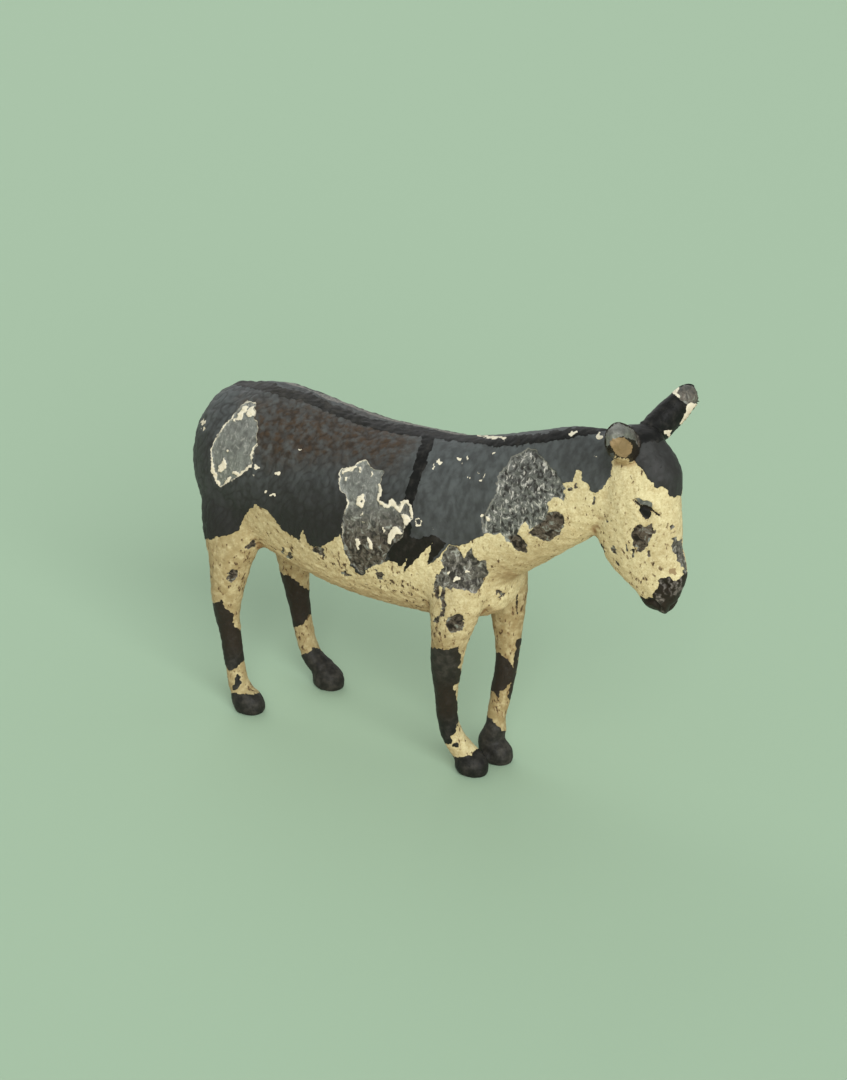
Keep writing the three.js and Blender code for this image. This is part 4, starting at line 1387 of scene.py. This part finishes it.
MATERIALS = {slot: cold_paint(slot) for slot in ("body_paint", "leg_paint", "ear_paint", "tail_paint")}
print("materials:", ", ".join(MATERIALS))

# %% [markdown]
# ## Back into castings
# The skin is cut along the solder lines, so that every casting keeps its own named piece. Each face takes
# the casting of its corners, and Separate by material does the cutting. Every open edge is closed inside,
# and the body is halved by Bisect along the line that the back stripe covers. The pieces keep the normals
# of the whole skin, so light runs over the cuts as it does over filed solder.

# %% Cut the skin
for casting in CASTINGS:
    skin.data.materials.append(bpy.data.materials.new("cut_" + casting))
corners = np.empty(len(skin.data.loops), np.int32)
skin.data.loops.foreach_get("vertex_index", corners)
starts = np.empty(len(skin.data.polygons), np.int32)
skin.data.polygons.foreach_get("loop_start", starts)
face_votes = np.stack([np.add.reduceat((label == number)[corners].astype(int), starts)
                       for number in range(len(CASTINGS))])
skin.data.polygons.foreach_set("material_index", face_votes.argmax(axis=0).astype(np.int32))
only(skin)
bpy.ops.object.mode_set(mode="EDIT")
bpy.ops.mesh.select_all(action="SELECT")
bpy.ops.mesh.separate(type="MATERIAL")
bpy.ops.object.mode_set(mode="OBJECT")
cut_pieces = {}
for piece in bpy.context.selected_objects:
    casting = piece.data.materials[piece.data.polygons[0].material_index].name.removeprefix("cut_")
    cut_pieces[casting] = piece


def close_openings(piece):
    """Closes each open edge loop with a fan of faces that meet inside."""
    only(piece)
    bpy.ops.object.mode_set(mode="EDIT")
    bpy.ops.mesh.select_mode(type="EDGE")
    bpy.ops.mesh.select_all(action="DESELECT")
    bpy.ops.mesh.select_non_manifold()
    bpy.ops.mesh.extrude_edges_move()
    bpy.ops.mesh.merge(type="COLLAPSE")
    bpy.ops.object.mode_set(mode="OBJECT")


for piece in cut_pieces.values():
    close_openings(piece)
print("cut into", {name: len(piece.data.polygons) for name, piece in cut_pieces.items()})

# %% Halve the body and name the pieces
SLOT_OF = {
    "fore": "leg_paint", "hind": "leg_paint", "ear": "ear_paint", "tail": "tail_paint", "body": "body_paint",
}


def half_body(name, side):
    """One half of the body, cut on the middle line and closed there."""
    half = bpy.data.objects.new(name, cut_pieces["body"].data.copy())
    bpy.context.scene.collection.objects.link(half)
    only(half)
    bpy.ops.object.mode_set(mode="EDIT")
    bpy.ops.mesh.select_all(action="SELECT")
    bpy.ops.mesh.bisect(plane_co=(0, 0, 0), plane_no=(0, side, 0), clear_inner=True, threshold=MERGE * MM)
    bpy.ops.mesh.select_mode(type="EDGE")
    bpy.ops.mesh.select_all(action="DESELECT")
    bpy.ops.mesh.select_non_manifold()
    bpy.ops.mesh.fill(use_beauty=False)
    bpy.ops.mesh.normals_make_consistent(inside=False)
    bpy.ops.object.mode_set(mode="OBJECT")
    return half


pieces = {casting: piece for casting, piece in cut_pieces.items() if casting != "body"}
pieces["body_shell_left"] = half_body("left_half", 1)
pieces["body_shell_right"] = half_body("right_half", -1)
bpy.data.objects.remove(cut_pieces["body"])
triangles = {}
for node, piece in sorted(pieces.items()):
    piece.name = "painted_" + node
    slot = SLOT_OF[node.split("_")[0]]
    piece.data.materials.clear()
    piece.data.materials.append(MATERIALS[slot])
    piece.data.polygons.foreach_set("material_index", np.zeros(len(piece.data.polygons), np.int32))
    piece.data.polygons.foreach_set("use_smooth", np.ones(len(piece.data.polygons), bool))
    flat = np.empty(len(piece.data.vertices) * 3, np.float32)
    piece.data.attributes["smooth_normal"].data.foreach_get("vector", flat)
    piece.data.normals_split_custom_set_from_vertices(flat.reshape(-1, 3))
    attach(piece, "root")
    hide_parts(node)
    triangles[node] = sum(len(face.vertices) - 2 for face in piece.data.polygons)
print("triangles:", triangles, "in all", sum(triangles.values()))

# %% [markdown]
# ## Floor and light
# A plain pale sage floor fills the picture, as in the photograph. A broad soft sun from above and ahead
# models the forms, a weak one from behind edges the rump, and an even sky fills the shadows. The levels
# are plain: a colour facing the key light renders about as it is written. The belly in the photograph is
# lit from below by a warm table top, so the floor throws back warm light, and shows its sage colour only
# to the camera and to reflections.

# %% Stage
FLOOR_SIZE = 6.0
SAGE = srgb(167, 195, 166)
WARM_BOUNCE = srgb(202, 190, 164)
SUN_LEVEL = 2.5
SUN_ANGLE = math.radians(45)
SUN_DIRECTION = Vector((0.80, -0.70, 0.62))
SKY_LEVEL = 0.44
BACK_LEVEL = 0.8
BACK_ANGLE = math.radians(60)
BACK_DIRECTION = Vector((-0.75, 0.45, 0.55))

bpy.ops.object.select_all(action="DESELECT")
bpy.ops.mesh.primitive_plane_add(size=FLOOR_SIZE, location=(0, 0, 0))
floor = bpy.context.object
floor.name = "floor"
floor_paper = bpy.data.materials.new("sage_paper")
floor_paper.use_nodes = True
paper = PaintNodes(floor_paper)
paper_shader = floor_paper.node_tree.nodes["Principled BSDF"]
rays = floor_paper.node_tree.nodes.new("ShaderNodeLightPath").outputs
looked_at = paper.math("MAXIMUM", rays["Is Camera Ray"], rays["Is Glossy Ray"])
looked_at = paper.math("MAXIMUM", looked_at, rays["Is Transmission Ray"])
paper.put(paper_shader.inputs["Base Color"], paper.mix(looked_at, WARM_BOUNCE, SAGE))
paper_shader.inputs["Roughness"].default_value = 0.9
floor.data.materials.append(floor_paper)


def add_sun(name, direction, level, angle):
    bpy.ops.object.light_add(type="SUN", location=direction)
    sun = bpy.context.object
    sun.name = name
    sun.rotation_euler = direction.to_track_quat("Z", "Y").to_euler()
    sun.data.energy = level
    sun.data.angle = angle


add_sun("key_light", SUN_DIRECTION, SUN_LEVEL, SUN_ANGLE)
add_sun("back_light", BACK_DIRECTION, BACK_LEVEL, BACK_ANGLE)
sky = bpy.data.worlds.new("even_sky")
sky.use_nodes = True
sky.node_tree.nodes["Background"].inputs["Color"].default_value = (1, 1, 1, 1)
sky.node_tree.nodes["Background"].inputs["Strength"].default_value = SKY_LEVEL
bpy.context.scene.world = sky
bpy.context.scene.view_settings.view_transform = "Standard"
print("sun", SUN_LEVEL, "sky", SKY_LEVEL)
